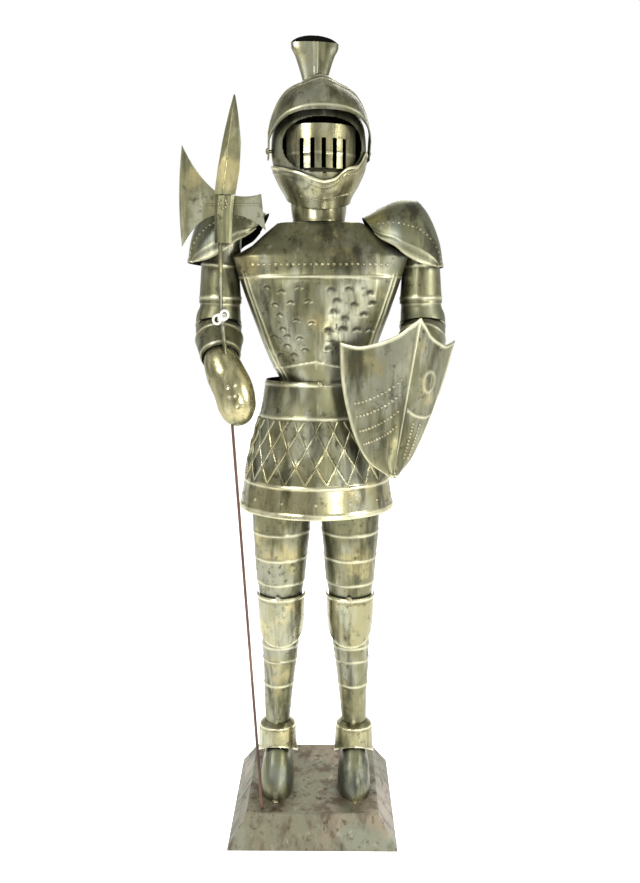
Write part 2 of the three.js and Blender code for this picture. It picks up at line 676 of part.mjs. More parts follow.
/** Strip that laps the back of the shield at one end and the hand at the other. */
function bracket() {
  const grid = [BRACKET.low, BRACKET.high].map((z) => {
    const top = SHIELD.top + tableAt(SHIELD_TOP, BRACKET_REACH);
    const lap = shieldPoint(-BRACKET_REACH, (top - z) / (top - SHIELD.tip), BRACKET.play);
    return [
      [lap[0] - BRACKET.lap, lap[1] + BRACKET.step, z],
      lap,
      [BRACKET.left, BRACKET.front - BRACKET.step, z],
      [BRACKET.bend, BRACKET.front, z],
      [BRACKET.right, BRACKET.front, z],
    ];
  });
  return sheet(grid);
}

piece(figure, 'shield_bracket', bracket(), FINISH.dark);

// ---------------------------------------------------------------- helmet
const helmet = new THREE.Group();
helmet.position.set(HEAD.x, HEAD.y, 0);
helmet.rotation.z = HEAD.turn;
figure.add(helmet);

const HELM_SIDES = 24;
// [z, half width, front depth, back depth]
const SKULL = [
  [1446, 67, 66, 70], [1480, 86, 83, 88], [1515, 99, 93, 100], [1550, 104, 97, 108],
  [1590, 101, 96, 110], [1625, 88, 80, 100], [1650, 69, 60, 82], [1670, 42, 38, 56],
];
const SKULL_TOP = 1684;
const FACE = { x: 0, z: 1553, halfWidth: 76, up: 52, down: 62, power: 0.85 };
const COLLAR = [[1396.4, 56, 66, 50], [1425, 61, 62.5, 57], [1462, 62.5, 61.5, 64]];
const COLLAR_DIP = { drop: 11, from: 59, reach: 6.5 }; // the front laps over the breastplate

const helmRing = (row, inset) => ring(
  { z: row[0], a: row[1], front: row[2], back: row[3] },
  HELM_SIDES,
  inset,
);

/** The skull: a raised bowl, open below, with the face opening cut through its front. */
function skull() {
  const outer = SKULL.map((row) => helmRing(row, 0));
  const inner = SKULL.map((row) => helmRing([row[0] - WALL * (row[0] - 1530) / 140, ...row.slice(1)], WALL));
  inner[0] = helmRing(SKULL[0], WALL);
  const bowl = dome(outer, inner, [0, 8, SKULL_TOP], [0, 8, SKULL_TOP - 2 * WALL]);
  const outline = Array.from({ length: 26 }, (_, k) => {
    const turn = 2 * Math.PI * k / 26;
    const rise = Math.sin(turn) > 0 ? FACE.up : FACE.down;
    return new THREE.Vector2(
      FACE.x + FACE.halfWidth * power(Math.cos(turn), FACE.power),
      FACE.z + rise * power(Math.sin(turn), FACE.power),
    );
  });
  const opening = new THREE.ExtrudeGeometry(new THREE.Shape(outline), { depth: 160, bevelEnabled: false });
  opening.rotateX(Math.PI / 2);
  return cut(bowl, opening.translate(0, -20, 0));
}

/** A sheet on the helmet's own rings, from one turn to another. rise(turn) gives z low and high. */
function helmSheet({ rows, reach, columns, low, high, levels }) {
  const grid = levels.map((level) => Array.from({ length: columns + 1 }, (_, k) => {
    const turn = lerp(-reach, reach, k / columns);
    const z = lerp(low(turn), high(turn), level);
    return [
      tableAt(rows, z, 1) * Math.sin(turn),
      -tableAt(rows, z, 2) * Math.cos(turn),
      z,
    ];
  }));
  return sheet(grid);
}

// The bevor wraps the chin outside the skull; its upper edge dips under the grille's nose.
const BEVOR_REACH = 97 * Math.PI / 180;
// [turn in degrees, z of the upper edge]
const BEVOR_TOP = [
  [-97, 1520], [-60, 1508], [-38, 1497], [-20, 1486], [0, 1477], [14, 1482], [30, 1504],
  [48, 1513], [68, 1546], [84, 1539], [97, 1536],
];
const bevorTop = (turn) => tableAt(BEVOR_TOP, turn * 180 / Math.PI);
const bevorLow = (turn) => 1421 + 24 * (1 - Math.cos(turn));
const BEVOR_ROWS = [[1421, 66, 68], [1446, 71, 73], [1480, 89.5, 91.5], [1515, 103.5, 100], [1550, 108, 102]];

// The grille is a slotted plate inside the face opening.
const GRILLE = { radius: 88, low: 1468, top: 1593, reach: 58 * Math.PI / 180, slots: 5 };
const SLOT = { low: 1503, high: 1564, width: 6.2 };

function grille() {
  const bars = GRILLE.slots + 1;
  const edges = [-GRILLE.reach];
  const pitch = 15.6 * Math.PI / 180;
  const half = SLOT.width / 2 * Math.PI / 180;
  for (let slot = 0; slot < GRILLE.slots; slot += 1) {
    const middle = (slot - (GRILLE.slots - 1) / 2) * pitch;
    edges.push(middle - half, middle + half);
  }
  edges.push(GRILLE.reach);
  const levels = [[GRILLE.low, 0.72], [1484, 0.86], [SLOT.low, 0.97], [1534, 1], [SLOT.high, 1],
    [GRILLE.top, 0.97]];
  const grid = levels.map(([z, swell]) => edges.map((turn) => {
    const down = z === GRILLE.low ? 26 * (1 - Math.cos(1.2 * turn)) : 0;
    const radius = GRILLE.radius * (z < SLOT.low ? swell : 1);
    return [radius * Math.sin(turn), -radius * Math.cos(turn) + 4, z + down];
  }));
  const window = (j, k) => !(j >= 2 && j < 4 && k % 2 === 1 && k < 2 * bars);
  return sheet(grid, WALL, window);
}

// Visor: radius from the pivot axis by the share of the half span, [share, radius, peak]
const VISOR_ARCH = [
  [0, 146, 16], [0.17, 145, 10], [0.38, 141, 1], [0.63, 127, 0], [0.8, 105, 0], [0.9, 82, 0],
  [0.96, 62, 0], [1, 40, 0],
];
const VISOR_LEVELS = [33, 42, 52, 62, 71, 80]; // degrees above the horizontal, pointing forwards
const VISOR_GROW = [[33, 0.86], [52, 0.91], [80, 1]];
const VISOR_PEAK = [[42, 0], [62, 0.5], [80, 1]];
const EAR = { below: 17, halfWidth: 13 };

function visor() {
  const shares = VISOR_ARCH.map(([share]) => share);
  const across = [...shares.slice(1).reverse().map((share) => -share), ...shares];
  const grid = VISOR_LEVELS.map((degrees, level) => {
    const angle = degrees * Math.PI / 180;
    const row = across.map((share) => {
      const arch = tableAt(VISOR_ARCH, Math.abs(share)) * tableAt(VISOR_GROW, degrees);
      const radius = arch + tableAt(VISOR_ARCH, Math.abs(share), 2) * tableAt(VISOR_PEAK, degrees);
      return [share * PIVOT.halfSpan, -radius * Math.cos(angle), PIVOT.z + radius * Math.sin(angle)];
    });
    const ear = (side) => {
      const share = 1 - 2 * level / (VISOR_LEVELS.length - 1);
      return [side * PIVOT.halfSpan, -EAR.halfWidth * share, PIVOT.z - EAR.below];
    };
    return [ear(-1), ...row, ear(1)];
  });
  const hole = (side) => bar(
    [side * (PIVOT.halfSpan - 20), 0, PIVOT.z],
    [side * (PIVOT.halfSpan + 20), 0, PIVOT.z],
    PIVOT.holeRadius,
    12,
  );
  return cut(sheet(grid), hole(-1), hole(1));
}

/** Temple pin: a shank through the visor's ear with a domed head outside. */
function pivotPin(side) {
  const skullSide = tableAt(SKULL, PIVOT.z, 1) + GAP;
  const outside = PIVOT.halfSpan + GAP;
  const profile = [
    [0, skullSide], [PIVOT.pinRadius, skullSide], [PIVOT.pinRadius, outside], [7.5, outside],
    [6.5, outside + 3], [3, outside + 5], [0, outside + 5.4],
  ].map(([radius, along]) => new THREE.Vector2(radius, along));
  const pin = new THREE.LatheGeometry(profile, 12);
  return pin.rotateZ(side > 0 ? -Math.PI / 2 : Math.PI / 2).translate(0, 0, PIVOT.z);
}

function collar() {
  const outer = COLLAR.map((row) => helmRing(row, 0));
  const inner = COLLAR.map((row) => helmRing(row, WALL));
  const drop = ([x, y, z]) => {
    const front = Math.min(Math.max((-y - COLLAR_DIP.from) / COLLAR_DIP.reach, 0), 1);
    return [x, y, z - COLLAR_DIP.drop * front];
  };
  outer[0] = outer[0].map(drop);
  inner[0] = inner[0].map(drop);
  return wall(outer, inner, true);
}

// Plume: two bowed sheets that flare upwards, [z, half width, half depth]
const PLUME = [[1684.4, 24, 9], [1702, 27, 10], [1726, 34, 12], [1752, 43, 14], [1770, 51.5, 15],
  [1778, 52, 15]];
const PLUME_MIDDLE = { x: -6, y: 18 };
const PLUME_CREST = 22;
const PLUME_SEAM = 1.4;

function plume(facing) {
  const columns = 8;
  const grid = PLUME.map(([z, half, depth], level) => Array.from({ length: columns + 1 }, (_, k) => {
    const turn = lerp(-Math.PI / 2, Math.PI / 2, k / columns);
    const crest = facing < 0 && level === PLUME.length - 1 ? PLUME_CREST * Math.cos(turn) ** 1.2 : 0;
    return [
      PLUME_MIDDLE.x + facing * half * Math.sin(turn),
      PLUME_MIDDLE.y - facing * (PLUME_SEAM + depth * Math.cos(turn)),
      z + crest,
    ];
  }));
  return sheet(grid);
}

piece(helmet, 'helmet_skull', skull());
piece(helmet, 'helmet_bevor', helmSheet({
  rows: BEVOR_ROWS, reach: BEVOR_REACH, columns: 18, low: bevorLow, high: bevorTop,
  levels: [0, 0.33, 0.66, 1],
}), FINISH.brassy);
piece(helmet, 'helmet_grille', grille(), FINISH.brassy);
piece(helmet, 'visor', visor());
piece(helmet, 'pivot_pin_left', pivotPin(-1), FINISH.brassy);
piece(helmet, 'pivot_pin_right', pivotPin(1), FINISH.brassy);
piece(helmet, 'collar', collar(), FINISH.brassy);
piece(helmet, 'plume_front', plume(1));
piece(helmet, 'plume_back', plume(-1), FINISH.dark);

// The origin is under the middle of the whole object, on the ground.
const bounds = new THREE.Box3().setFromObject(figure, true);
const centre = bounds.getCenter(new THREE.Vector3());
figure.position.set(-centre.x, -centre.y, 0);

export default figure;
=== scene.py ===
import logging
import math
from collections.abc import Callable, Sequence
from dataclasses import dataclass
from enum import Enum

import bpy
import numpy as np
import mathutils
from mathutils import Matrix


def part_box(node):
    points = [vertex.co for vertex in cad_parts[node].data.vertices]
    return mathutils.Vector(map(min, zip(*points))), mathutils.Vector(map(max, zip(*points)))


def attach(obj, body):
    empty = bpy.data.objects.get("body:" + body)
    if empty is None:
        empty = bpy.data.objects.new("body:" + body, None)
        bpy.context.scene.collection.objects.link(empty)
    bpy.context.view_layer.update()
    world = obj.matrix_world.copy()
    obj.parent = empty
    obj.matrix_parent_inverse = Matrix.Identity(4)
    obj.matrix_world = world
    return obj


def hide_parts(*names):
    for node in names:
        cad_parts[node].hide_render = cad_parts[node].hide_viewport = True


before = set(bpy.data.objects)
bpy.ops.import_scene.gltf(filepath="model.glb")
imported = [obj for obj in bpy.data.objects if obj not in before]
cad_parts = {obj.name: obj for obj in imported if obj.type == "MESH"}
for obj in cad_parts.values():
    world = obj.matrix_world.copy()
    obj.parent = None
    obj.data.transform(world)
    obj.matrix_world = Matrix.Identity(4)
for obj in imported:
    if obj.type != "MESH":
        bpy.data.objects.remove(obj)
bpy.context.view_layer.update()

LOG = logging.getLogger("armour")
MM = 0.001
WALL = 1.5  # thickness of the sheet metal, millimetres
BEAD = 1.7  # height of a rolled bead
BEAD_REACH = 2.6  # half the width of a bead
Rows = Sequence[Sequence[float]]
Vector = tuple[float, float, float]


def plinth_middle() -> np.ndarray:
    """Middle of the plinth's top in the row's frame, millimetres: every size is measured from it."""
    low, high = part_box("plinth_top")
    return np.array([(low[0] + high[0]) / 2, (low[1] + high[1]) / 2, 0.0]) / MM


SHIFT = plinth_middle()


class Slot(Enum):
    """Material slots of the record."""

    PLATE = "plate_sheet"
    BRASSY = "brassy_sheet"
    DARK = "dark_sheet"
    PLINTH = "plinth"
    ROD = "rod"
    TIE = "tie"


class Side(Enum):
    """Sides of the figure, as seen by someone who looks at its front."""

    LEFT = -1
    RIGHT = 1

    @property
    def word(self) -> str:
        """The side's name in lower case."""
        return self.name.lower()


# ---------------------------------------------------------------- numbers
def smooth_at(rows: Rows, key: np.ndarray | float, column: int = 1) -> np.ndarray:
    """Read a table with a smooth monotone curve through its rows.

    Args:
        rows: Rows of (key, value, ...), keys rising.
        key: Where to read.
        column: Which value.

    Returns:
        The values at the keys.
    """
    table = np.asarray(rows, dtype=float)
    keys, values = table[:, 0], table[:, column]
    steps = np.diff(keys)
    slopes = np.diff(values) / steps
    tangents = np.zeros_like(values)
    tangents[0], tangents[-1] = slopes[0], slopes[-1]
    same = slopes[1:] * slopes[:-1] > 0
    with np.errstate(divide="ignore", invalid="ignore"):
        harmonic = 2 * slopes[1:] * slopes[:-1] / (slopes[1:] + slopes[:-1])
    tangents[1:-1] = np.where(same, harmonic, 0.0)
    at = np.clip(np.asarray(key, dtype=float), keys[0], keys[-1])
    place = np.clip(np.searchsorted(keys, at) - 1, 0, len(keys) - 2)
    step = steps[place]
    t = (at - keys[place]) / step
    near = (1 + 2 * t) * (1 - t) ** 2 * values[place] + t * (1 - t) ** 2 * step * tangents[place]
    far = t * t * (3 - 2 * t) * values[place + 1] + t * t * (t - 1) * step * tangents[place + 1]
    return near + far


def straight_at(rows: Rows, key: np.ndarray | float, column: int = 1) -> np.ndarray:
    """Read a table with straight lines between its rows."""
    table = np.asarray(rows, dtype=float)
    return np.interp(key, table[:, 0], table[:, column])


def power(value: np.ndarray, exponent: float | np.ndarray) -> np.ndarray:
    """Signed power."""
    return np.sign(value) * np.abs(value) ** exponent


def hump(distance: np.ndarray, reach: float) -> np.ndarray:
    """Bell that is 1 at distance 0 and fades over the reach."""
    return np.exp(-((distance / reach) ** 2))


def turns_round(count: int) -> np.ndarray:
    """Turns of a closed ring that starts at the front."""
    return np.linspace(0, 2 * math.pi, count, endpoint=False)


def spots(points: np.ndarray, centres: Rows, reach: float) -> np.ndarray:
    """Sum of round bells at centres given across and up.

    Args:
        points: Grid of points.
        centres: Rows of (x, z).
        reach: Radius of each bell.

    Returns:
        One number for each point.
    """
    total = np.zeros(points.shape[:-1])
    for x, z in centres:
        total += hump(np.hypot(points[..., 0] - x, points[..., 2] - z), reach)
    return total


# ---------------------------------------------------------------- sheet metal
@dataclass
class Plate:
    """A piece of sheet metal on a grid of points, its outer face outwards.

    Args:
        grid: Outer face, rows by columns by 3, millimetres from the plinth's middle.
        wrap: True if the columns close into a ring.
        wall: Thickness.
        relief: Height of what is pressed into the sheet, for each point.
        worn: How bright and rubbed each point is, 0 to 1.
        stain_and_shade: How dark each point is, 0 to 1: real stains and painted shade alike.
        outward: A direction that the outer face looks along, or None to look away from its middle.
        keep: True for each cell of the grid that stays, or None if all do.
    """

    grid: np.ndarray
    wrap: bool = False
    wall: float = WALL
    relief: np.ndarray | float = 0.0
    worn: np.ndarray | float = 0.0
    stain_and_shade: np.ndarray | float = 0.0
    outward: Vector | None = None
    keep: np.ndarray | None = None

    def __post_init__(self) -> None:
        """Work out the normals and press the relief in."""
        grid = self.grid
        down = np.gradient(grid, axis=0)
        if self.wrap:
            across = (np.roll(grid, -1, axis=1) - np.roll(grid, 1, axis=1)) / 2
        else:
            across = np.gradient(grid, axis=1)
        normal = np.cross(across, down)
        normal /= np.maximum(np.linalg.norm(normal, axis=2, keepdims=True), 1e-9)
        if self.outward is None:
            away = grid - grid.reshape(-1, 3).mean(axis=0)
            away[..., 2] *= 0.2
        else:
            away = np.broadcast_to(np.array(self.outward, dtype=float), grid.shape)
        self.flipped = bool((normal * away).sum() < 0)
        self.normal = -normal if self.flipped else normal
        self.relief = np.broadcast_to(self.relief, grid.shape[:2])
        self.face = grid + self.normal * self.relief[..., None]

    def nearest(self, places: Rows, front: bool = True) -> tuple[np.ndarray, np.ndarray]:
        """Points and normals of the outer face at places seen from the front or the back.

        Args:
            places: Rows of (x, z).
            front: False looks from behind.

        Returns:
            Points and unit normals, one row for each place.
        """
        flat = self.face.reshape(-1, 3)
        facing = self.normal.reshape(-1, 3)
        seen = facing[:, 1] < 0.25 if front else facing[:, 1] > -0.25
        flat, facing = flat[seen], facing[seen]
        points, normals = [], []
        for x, z in places:
            away = np.hypot(flat[:, 0] - x, flat[:, 2] - z)
            best = np.argsort(away)[:4]
            weight = 1 / (away[best] + 0.05)
            weight /= weight.sum()
            points.append((flat[best] * weight[:, None]).sum(axis=0))
            normals.append((facing[best] * weight[:, None]).sum(axis=0))
        return np.array(points), np.array(normals)

    def along(self, row: float, columns: np.ndarray) -> tuple[np.ndarray, np.ndarray]:
        """Points and normals on one row of the grid, row and columns given as shares of the grid.

        Args:
            row: Share of the way down the grid, 0 to 1.
            columns: Shares of the way across the grid.

        Returns:
            Points and unit normals, one row for each column.
        """
        rows, count = self.face.shape[:2]
        down = min(max(row, 0.0), 1.0) * (rows - 1)
        j = min(int(down), rows - 2)
        across = columns * (count if self.wrap else count - 1)
        k = np.floor(across).astype(int)
        v, u = down - j, (across - k)[:, None]
        near = k % count if self.wrap else np.clip(k, 0, count - 1)
        far = (k + 1) % count if self.wrap else np.clip(k + 1, 0, count - 1)
        blend = [(1 - v) * ((1 - u) * field[j, near] + u * field[j, far])
                 + v * ((1 - u) * field[j + 1, near] + u * field[j + 1, far])
                 for field in (self.face, self.normal)]
        return blend[0], blend[1]

    def mesh(self, name: str) -> bpy.types.Object:
        """Build the closed sheet as an object in metres.

        Args:
            name: The piece's name.

        Returns:
            The finished piece.
        """
        rows, count = self.face.shape[:2]
        inner = self.face - self.normal * self.wall
        points = np.concatenate([self.face.reshape(-1, 3), inner.reshape(-1, 3)])
        shift = rows * count
        last = count if self.wrap else count - 1
        j, k = np.meshgrid(np.arange(rows - 1), np.arange(last), indexing="ij")
        keep = np.ones(j.shape, dtype=bool) if self.keep is None else self.keep
        after = (k + 1) % count
        quads = np.stack([j * count + k, j * count + after, (j + 1) * count + after, (j + 1) * count + k], -1)
        outer = quads[keep]
        faces = [outer, outer[:, ::-1] + shift, self.rim(quads, keep, shift)]
        quad = np.concatenate(faces)
        if self.flipped:
            quad = quad[:, ::-1]
        worn = np.broadcast_to(self.worn, self.face.shape[:2]).ravel()
        stain_and_shade = np.broadcast_to(self.stain_and_shade, self.face.shape[:2]).ravel()
        # Painted shade: every inner face is set fully dark, so the insides of tubes, bells and shells read as
        # shadow.
        marks = {"worn": np.concatenate([worn, worn * 0]), "stain_and_shade": np.concatenate([stain_and_shade, stain_and_shade * 0 + 1.0])}
        return mesh_object(name, points, quad, marks)

    @staticmethod
    def rim(quads: np.ndarray, keep: np.ndarray, shift: int) -> np.ndarray:
        """Quads that close the sheet's edges: the sides that only one kept quad uses.

        Args:
            quads: Corners of each cell of the grid.
            keep: True for each cell that stays.
            shift: How many vertices the outer face has.

        Returns:
            Four corners for each quad.
        """
        kept = quads[keep]
        ends = np.concatenate([kept[:, [a, (a + 1) % 4]] for a in range(4)])
        low, high = ends.min(axis=1), ends.max(axis=1)
        _, index, times = np.unique(low * shift + high, return_index=True, return_counts=True)
        edge = ends[index[times == 1]]
        return np.stack([edge[:, 1], edge[:, 0], edge[:, 0] + shift, edge[:, 1] + shift], -1)


def mesh_object(name: str, points: np.ndarray, faces: Sequence[Sequence[int]] | np.ndarray,
                marks: dict[str, np.ndarray] | None = None, crease: float = 40.0) -> bpy.types.Object:
    """Make a smooth-shaded object from points in millimetres from the plinth's middle.

    Args:
        name: The object's name.
        points: One row for each vertex.
        faces: Corners of each face.
        marks: Values to keep on the vertices, by name.
        crease: Angle in degrees over which an edge stays sharp.

    Returns:
        The new object, linked to the scene.
    """
    mesh = bpy.data.meshes.new(name)
    corners = faces.tolist() if isinstance(faces, np.ndarray) else faces
    mesh.from_pydata(((points + SHIFT) * MM).tolist(), [], corners)
    for key, values in (marks or {}).items():
        layer = mesh.attributes.new(key, "FLOAT", "POINT")
        layer.data.foreach_set("value", np.clip(values, 0, 1).astype(np.float32))
    mesh.shade_smooth()
    mesh.set_sharp_from_angle(angle=math.radians(crease))
    thing = bpy.data.objects.new(name, mesh)
    bpy.context.scene.collection.objects.link(thing)
    return thing


def finish_piece(thing: bpy.types.Object, material: bpy.types.Material,
                 nodes: Sequence[str] = (), body: str = "figure") -> bpy.types.Object:
    """Give a piece its material and body, and hide the solids that it stands for.

    Args:
        thing: The piece.
        material: The piece's finish.
        nodes: The CAD nodes that it stands for.
        body: The CAD body it rides on.

    Returns:
        The finished piece.
    """
    if not thing.data.materials:
        thing.data.materials.append(material)
    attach(thing, body)
    if nodes:
        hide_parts(*nodes)
    return thing


# ---------------------------------------------------------------- finishes
class Nodes:
    """A small writer for node trees."""

    def __init__(self, tree: bpy.types.NodeTree) -> None:
        """Keep the tree."""
        self.tree = tree

    def add(self, kind: str, inputs: dict[str | int, object] | None = None,
            **settings: object) -> bpy.types.Node:
        """Add a node, set its properties and set or link its inputs.

        Args:
            kind: The node's type name.
            inputs: Socket name or number to a value or to another node's output.
            **settings: Properties of the node.

        Returns:
            The new node.
        """
        node = self.tree.nodes.new(kind)
        for key, value in settings.items():
            setattr(node, key, value)
        for key, value in (inputs or {}).items():
            if isinstance(value, bpy.types.NodeSocket):
                self.tree.links.new(value, node.inputs[key])
            else:
                node.inputs[key].default_value = value
        return node

    def noise(self, place: bpy.types.NodeSocket, scale: float, detail: float = 4.0,
              rough: float = 0.55) -> bpy.types.NodeSocket:
        """Noise value at a place."""
        inputs = {"Vector": place, "Scale": scale, "Detail": detail, "Roughness": rough}
        return self.add("ShaderNodeTexNoise", inputs).outputs[0]

    def band(self, value: bpy.types.NodeSocket, low: float, high: float, start: float = 0.0,
             end: float = 1.0) -> bpy.types.NodeSocket:
        """Stretch a value from between low and high to between start and end, held at both."""
        inputs = {"Value": value, "From Min": low, "From Max": high, "To Min": start, "To Max": end}
        return self.add("ShaderNodeMapRange", inputs, interpolation_type="SMOOTHSTEP").outputs[0]

    def math(self, operation: str, first: object, second: object) -> bpy.types.NodeSocket:
        """A sum, product or other operation on two values."""
        return self.add("ShaderNodeMath", {0: first, 1: second}, operation=operation).outputs[0]

    def mix(self, share: object, first: object, second: object) -> bpy.types.NodeSocket:
        """Mix two colours."""
        return self.add("ShaderNodeMix", {0: share, 6: first, 7: second}, data_type="RGBA").outputs[2]

    def attribute(self, name: str) -> bpy.types.NodeSocket:
        """A value kept on the piece's vertices."""
        return self.add("ShaderNodeAttribute", attribute_name=name).outputs["Fac"]

    def stretched(self, scale: Vector) -> bpy.types.NodeSocket:
        """Object coordinates stretched along the axes."""
        place = self.add("ShaderNodeTexCoord").outputs["Object"]
        return self.add("ShaderNodeMapping", {"Vector": place, "Scale": scale}).outputs[0]


def rgba(colour: Vector) -> tuple[float, float, float, float]:
    """Add an alpha of 1."""
    return (*colour, 1.0)


@dataclass(frozen=True)
class Patina:
    """Old thin sheet metal: cloudy tarnish, streaks, stains, rubbed bright edges and painted shade.

    Args:
        name: The material's name.
        base: The main colour.
        warm: Colour of the brassy clouds.
        cool: Colour of the greyer clouds.
        stain_and_shade: Colour of the dark spots; 0.35 of it is the colour of the painted shade.
        bright: Colour of rubbed metal.
        warmth: How much of the sheet is warm, 0 to 1.
        stains: How much of the sheet is stained, 0 to 1.
        gloss: Lowest roughness; the highest is a fixed step above it.
        metal: How metallic it is.
        ripple: Strength of the sheet's waves.
    """

    name: str
    base: Vector
    warm: Vector
    cool: Vector
    stain_and_shade: Vector
    bright: Vector
    warmth: float = 0.5
    stains: float = 0.4
    gloss: float = 0.24
    metal: float = 0.9
    ripple: float = 0.35

    def material(self) -> bpy.types.Material:
        """Build the material.

        Returns:
            The material.
        """
        material = bpy.data.materials.new(self.name)
        material.use_nodes = True
        tree = material.node_tree
        tree.nodes.clear()
        nodes = Nodes(tree)
        place = nodes.stretched((1, 1, 1))
        clouds = nodes.noise(place, 9.0, 5.0)
        cool = nodes.noise(nodes.stretched((1.0, 1.0, 0.45)), 14.0, 3.0)
        colour = nodes.mix(nodes.band(cool, 0.46, 0.62), rgba(self.base), rgba(self.cool))
        warm_start = 0.66 - 0.26 * self.warmth
        colour = nodes.mix(nodes.band(clouds, warm_start, warm_start + 0.14), colour, rgba(self.warm))
        streaks = nodes.noise(nodes.stretched((60.0, 60.0, 4.0)), 1.0, 3.0, 0.6)
        colour = nodes.mix(nodes.band(streaks, 0.56, 0.78, 0.0, 0.4), colour, rgba(self.bright))
        dull = nodes.noise(nodes.stretched((26.0, 26.0, 5.0)), 1.0, 4.0, 0.6)
        colour = nodes.mix(nodes.band(dull, 0.46, 0.66, 0.0, 0.75), colour, rgba(self.stain_and_shade))
        spots_value = nodes.noise(place, 70.0, 6.0, 0.7)
        blotches = nodes.noise(place, 22.0, 4.0, 0.65)
        foul = nodes.math("MULTIPLY", nodes.band(spots_value, 0.5, 0.66), nodes.band(blotches, 0.42, 0.62))
        foul = nodes.math("MULTIPLY", foul, self.stains)
        colour = nodes.mix(foul, colour, rgba(self.stain_and_shade))
        worn = nodes.math("MULTIPLY", nodes.attribute("worn"), nodes.band(blotches, 0.3, 0.6, 0.55, 1.0))
        colour = nodes.mix(worn, colour, rgba(self.bright))
        # Painted shade with real stains: the per-vertex darkening, full on every inner face, mixes the colour
        # towards a near-black brown.
        dark = nodes.attribute("stain_and_shade")
        colour = nodes.mix(dark, colour, rgba(tuple(0.35 * part for part in self.stain_and_shade)))
        rough = nodes.band(clouds, 0.3, 0.7, self.gloss + 0.16, self.gloss)
        rough = nodes.math("ADD", rough, nodes.math("MULTIPLY", foul, 0.3))
        rough = nodes.math("ADD", rough, nodes.math("MULTIPLY", dark, 0.35))
        waves = nodes.noise(place, 18.0, 2.0, 0.4)
        fine = nodes.noise(place, 240.0, 3.0, 0.6)
        height = nodes.math("ADD", waves, nodes.math("MULTIPLY", fine, 0.06))
        bump = nodes.add("ShaderNodeBump", {"Strength": self.ripple, "Distance": 0.004, "Height": height})
        shader = nodes.add("ShaderNodeBsdfPrincipled", {
            "Base Color": colour, "Roughness": rough, "Metallic": self.metal, "Normal": bump.outputs[0]})
        nodes.add("ShaderNodeOutputMaterial", {0: shader.outputs[0]})
        return material


@dataclass(frozen=True)
class Cord:
    """White twisted cord.

    Args:
        name: The material's name.
        colour: The fibre's colour.
        shade: The colour between the strands.
    """

    name: str
    colour: Vector
    shade: Vector

    def material(self) -> bpy.types.Material:
        """Build the material.

        Returns:
            The material.
        """
        material = bpy.data.materials.new(self.name)
        material.use_nodes = True
        tree = material.node_tree
        tree.nodes.clear()
        nodes = Nodes(tree)
        strands = nodes.add("ShaderNodeTexWave", {"Vector": nodes.stretched((1, 1, 1)), "Scale": 260.0,
                                                  "Distortion": 2.0}, bands_direction="DIAGONAL").outputs["Fac"]
        colour = nodes.mix(strands, rgba(self.shade), rgba(self.colour))
        bump = nodes.add("ShaderNodeBump", {"Strength": 0.5, "Distance": 0.0006, "Height": strands})
        shader = nodes.add("ShaderNodeBsdfPrincipled", {
            "Base Color": colour, "Roughness": 0.85, "Normal": bump.outputs[0]})
        nodes.add("ShaderNodeOutputMaterial", {0: shader.outputs[0]})
        return material


class Finishes:
    """Every finish of the suit, each made once."""

    def __init__(self) -> None:
        """Build the materials."""
        olive, brass, grey = (0.172, 0.168, 0.092), (0.36, 0.315, 0.16), (0.28, 0.28, 0.205)
        brown, glare = (0.030, 0.029, 0.016), (0.66, 0.64, 0.44)
        self.plate = Patina("patinated_plate", olive, brass, grey, brown, glare, warmth=0.4, stains=0.8,
                            gloss=0.31).material()
        self.brassy = Patina("brassy_plate", (0.29, 0.27, 0.15), (0.43, 0.38, 0.20), (0.33, 0.33, 0.23),
                             brown, (0.72, 0.69, 0.47), warmth=0.6, stains=0.7, gloss=0.2).material()
        self.dark = Patina("dark_plate", (0.165, 0.165, 0.095), (0.26, 0.24, 0.125), (0.16, 0.17, 0.13),
                           (0.018, 0.016, 0.012), (0.52, 0.50, 0.33), warmth=0.5, gloss=0.34).material()
        self.plinth = Patina("plinth_sheet", (0.165, 0.158, 0.104), (0.225, 0.19, 0.13), (0.19, 0.195, 0.14),
                             (0.06, 0.03, 0.015), (0.46, 0.40, 0.30), warmth=0.6, stains=0.9,
                             gloss=0.4, metal=0.6, ripple=0.25).material()
        self.rust = Patina("rusted_rod", (0.10, 0.045, 0.028), (0.16, 0.08, 0.045), (0.07, 0.04, 0.03),
                           (0.03, 0.015, 0.01), (0.30, 0.20, 0.14), stains=0.8, gloss=0.4,
                           metal=0.5).material()
        self.solder = Patina("solder", (0.36, 0.33, 0.20), (0.48, 0.41, 0.24), (0.34, 0.34, 0.26),
                             (0.10, 0.08, 0.04), (0.85, 0.80, 0.62), gloss=0.3, ripple=0.8).material()
        self.cord = Cord("white_cord", (0.86, 0.85, 0.81), (0.55, 0.53, 0.47)).material()


# ---------------------------------------------------------------- repeated small things
def grouped_tree(name: str, inputs: dict[str, float]) -> tuple[Nodes, dict[str, str], bpy.types.Node]:
    """Start a geometry node tree with number inputs and a material input.

    Args:
        name: The tree's name.
        inputs: Names and defaults of its number inputs.

    Returns:
        The tree's writer, socket identifiers by name, and its input node.
    """
    tree = bpy.data.node_groups.new(name, "GeometryNodeTree")
    tree.interface.new_socket("Geometry", in_out="INPUT", socket_type="NodeSocketGeometry")
    tree.interface.new_socket("Geometry", in_out="OUTPUT", socket_type="NodeSocketGeometry")
    sockets = {}
    for key, value in inputs.items():
        socket = tree.interface.new_socket(key, in_out="INPUT", socket_type="NodeSocketFloat")
        socket.default_value = value
        sockets[key] = socket.identifier
    socket = tree.interface.new_socket("Material", in_out="INPUT", socket_type="NodeSocketMaterial")
    sockets["Material"] = socket.identifier
    nodes = Nodes(tree)
    return nodes, sockets, nodes.add("NodeGroupInput")


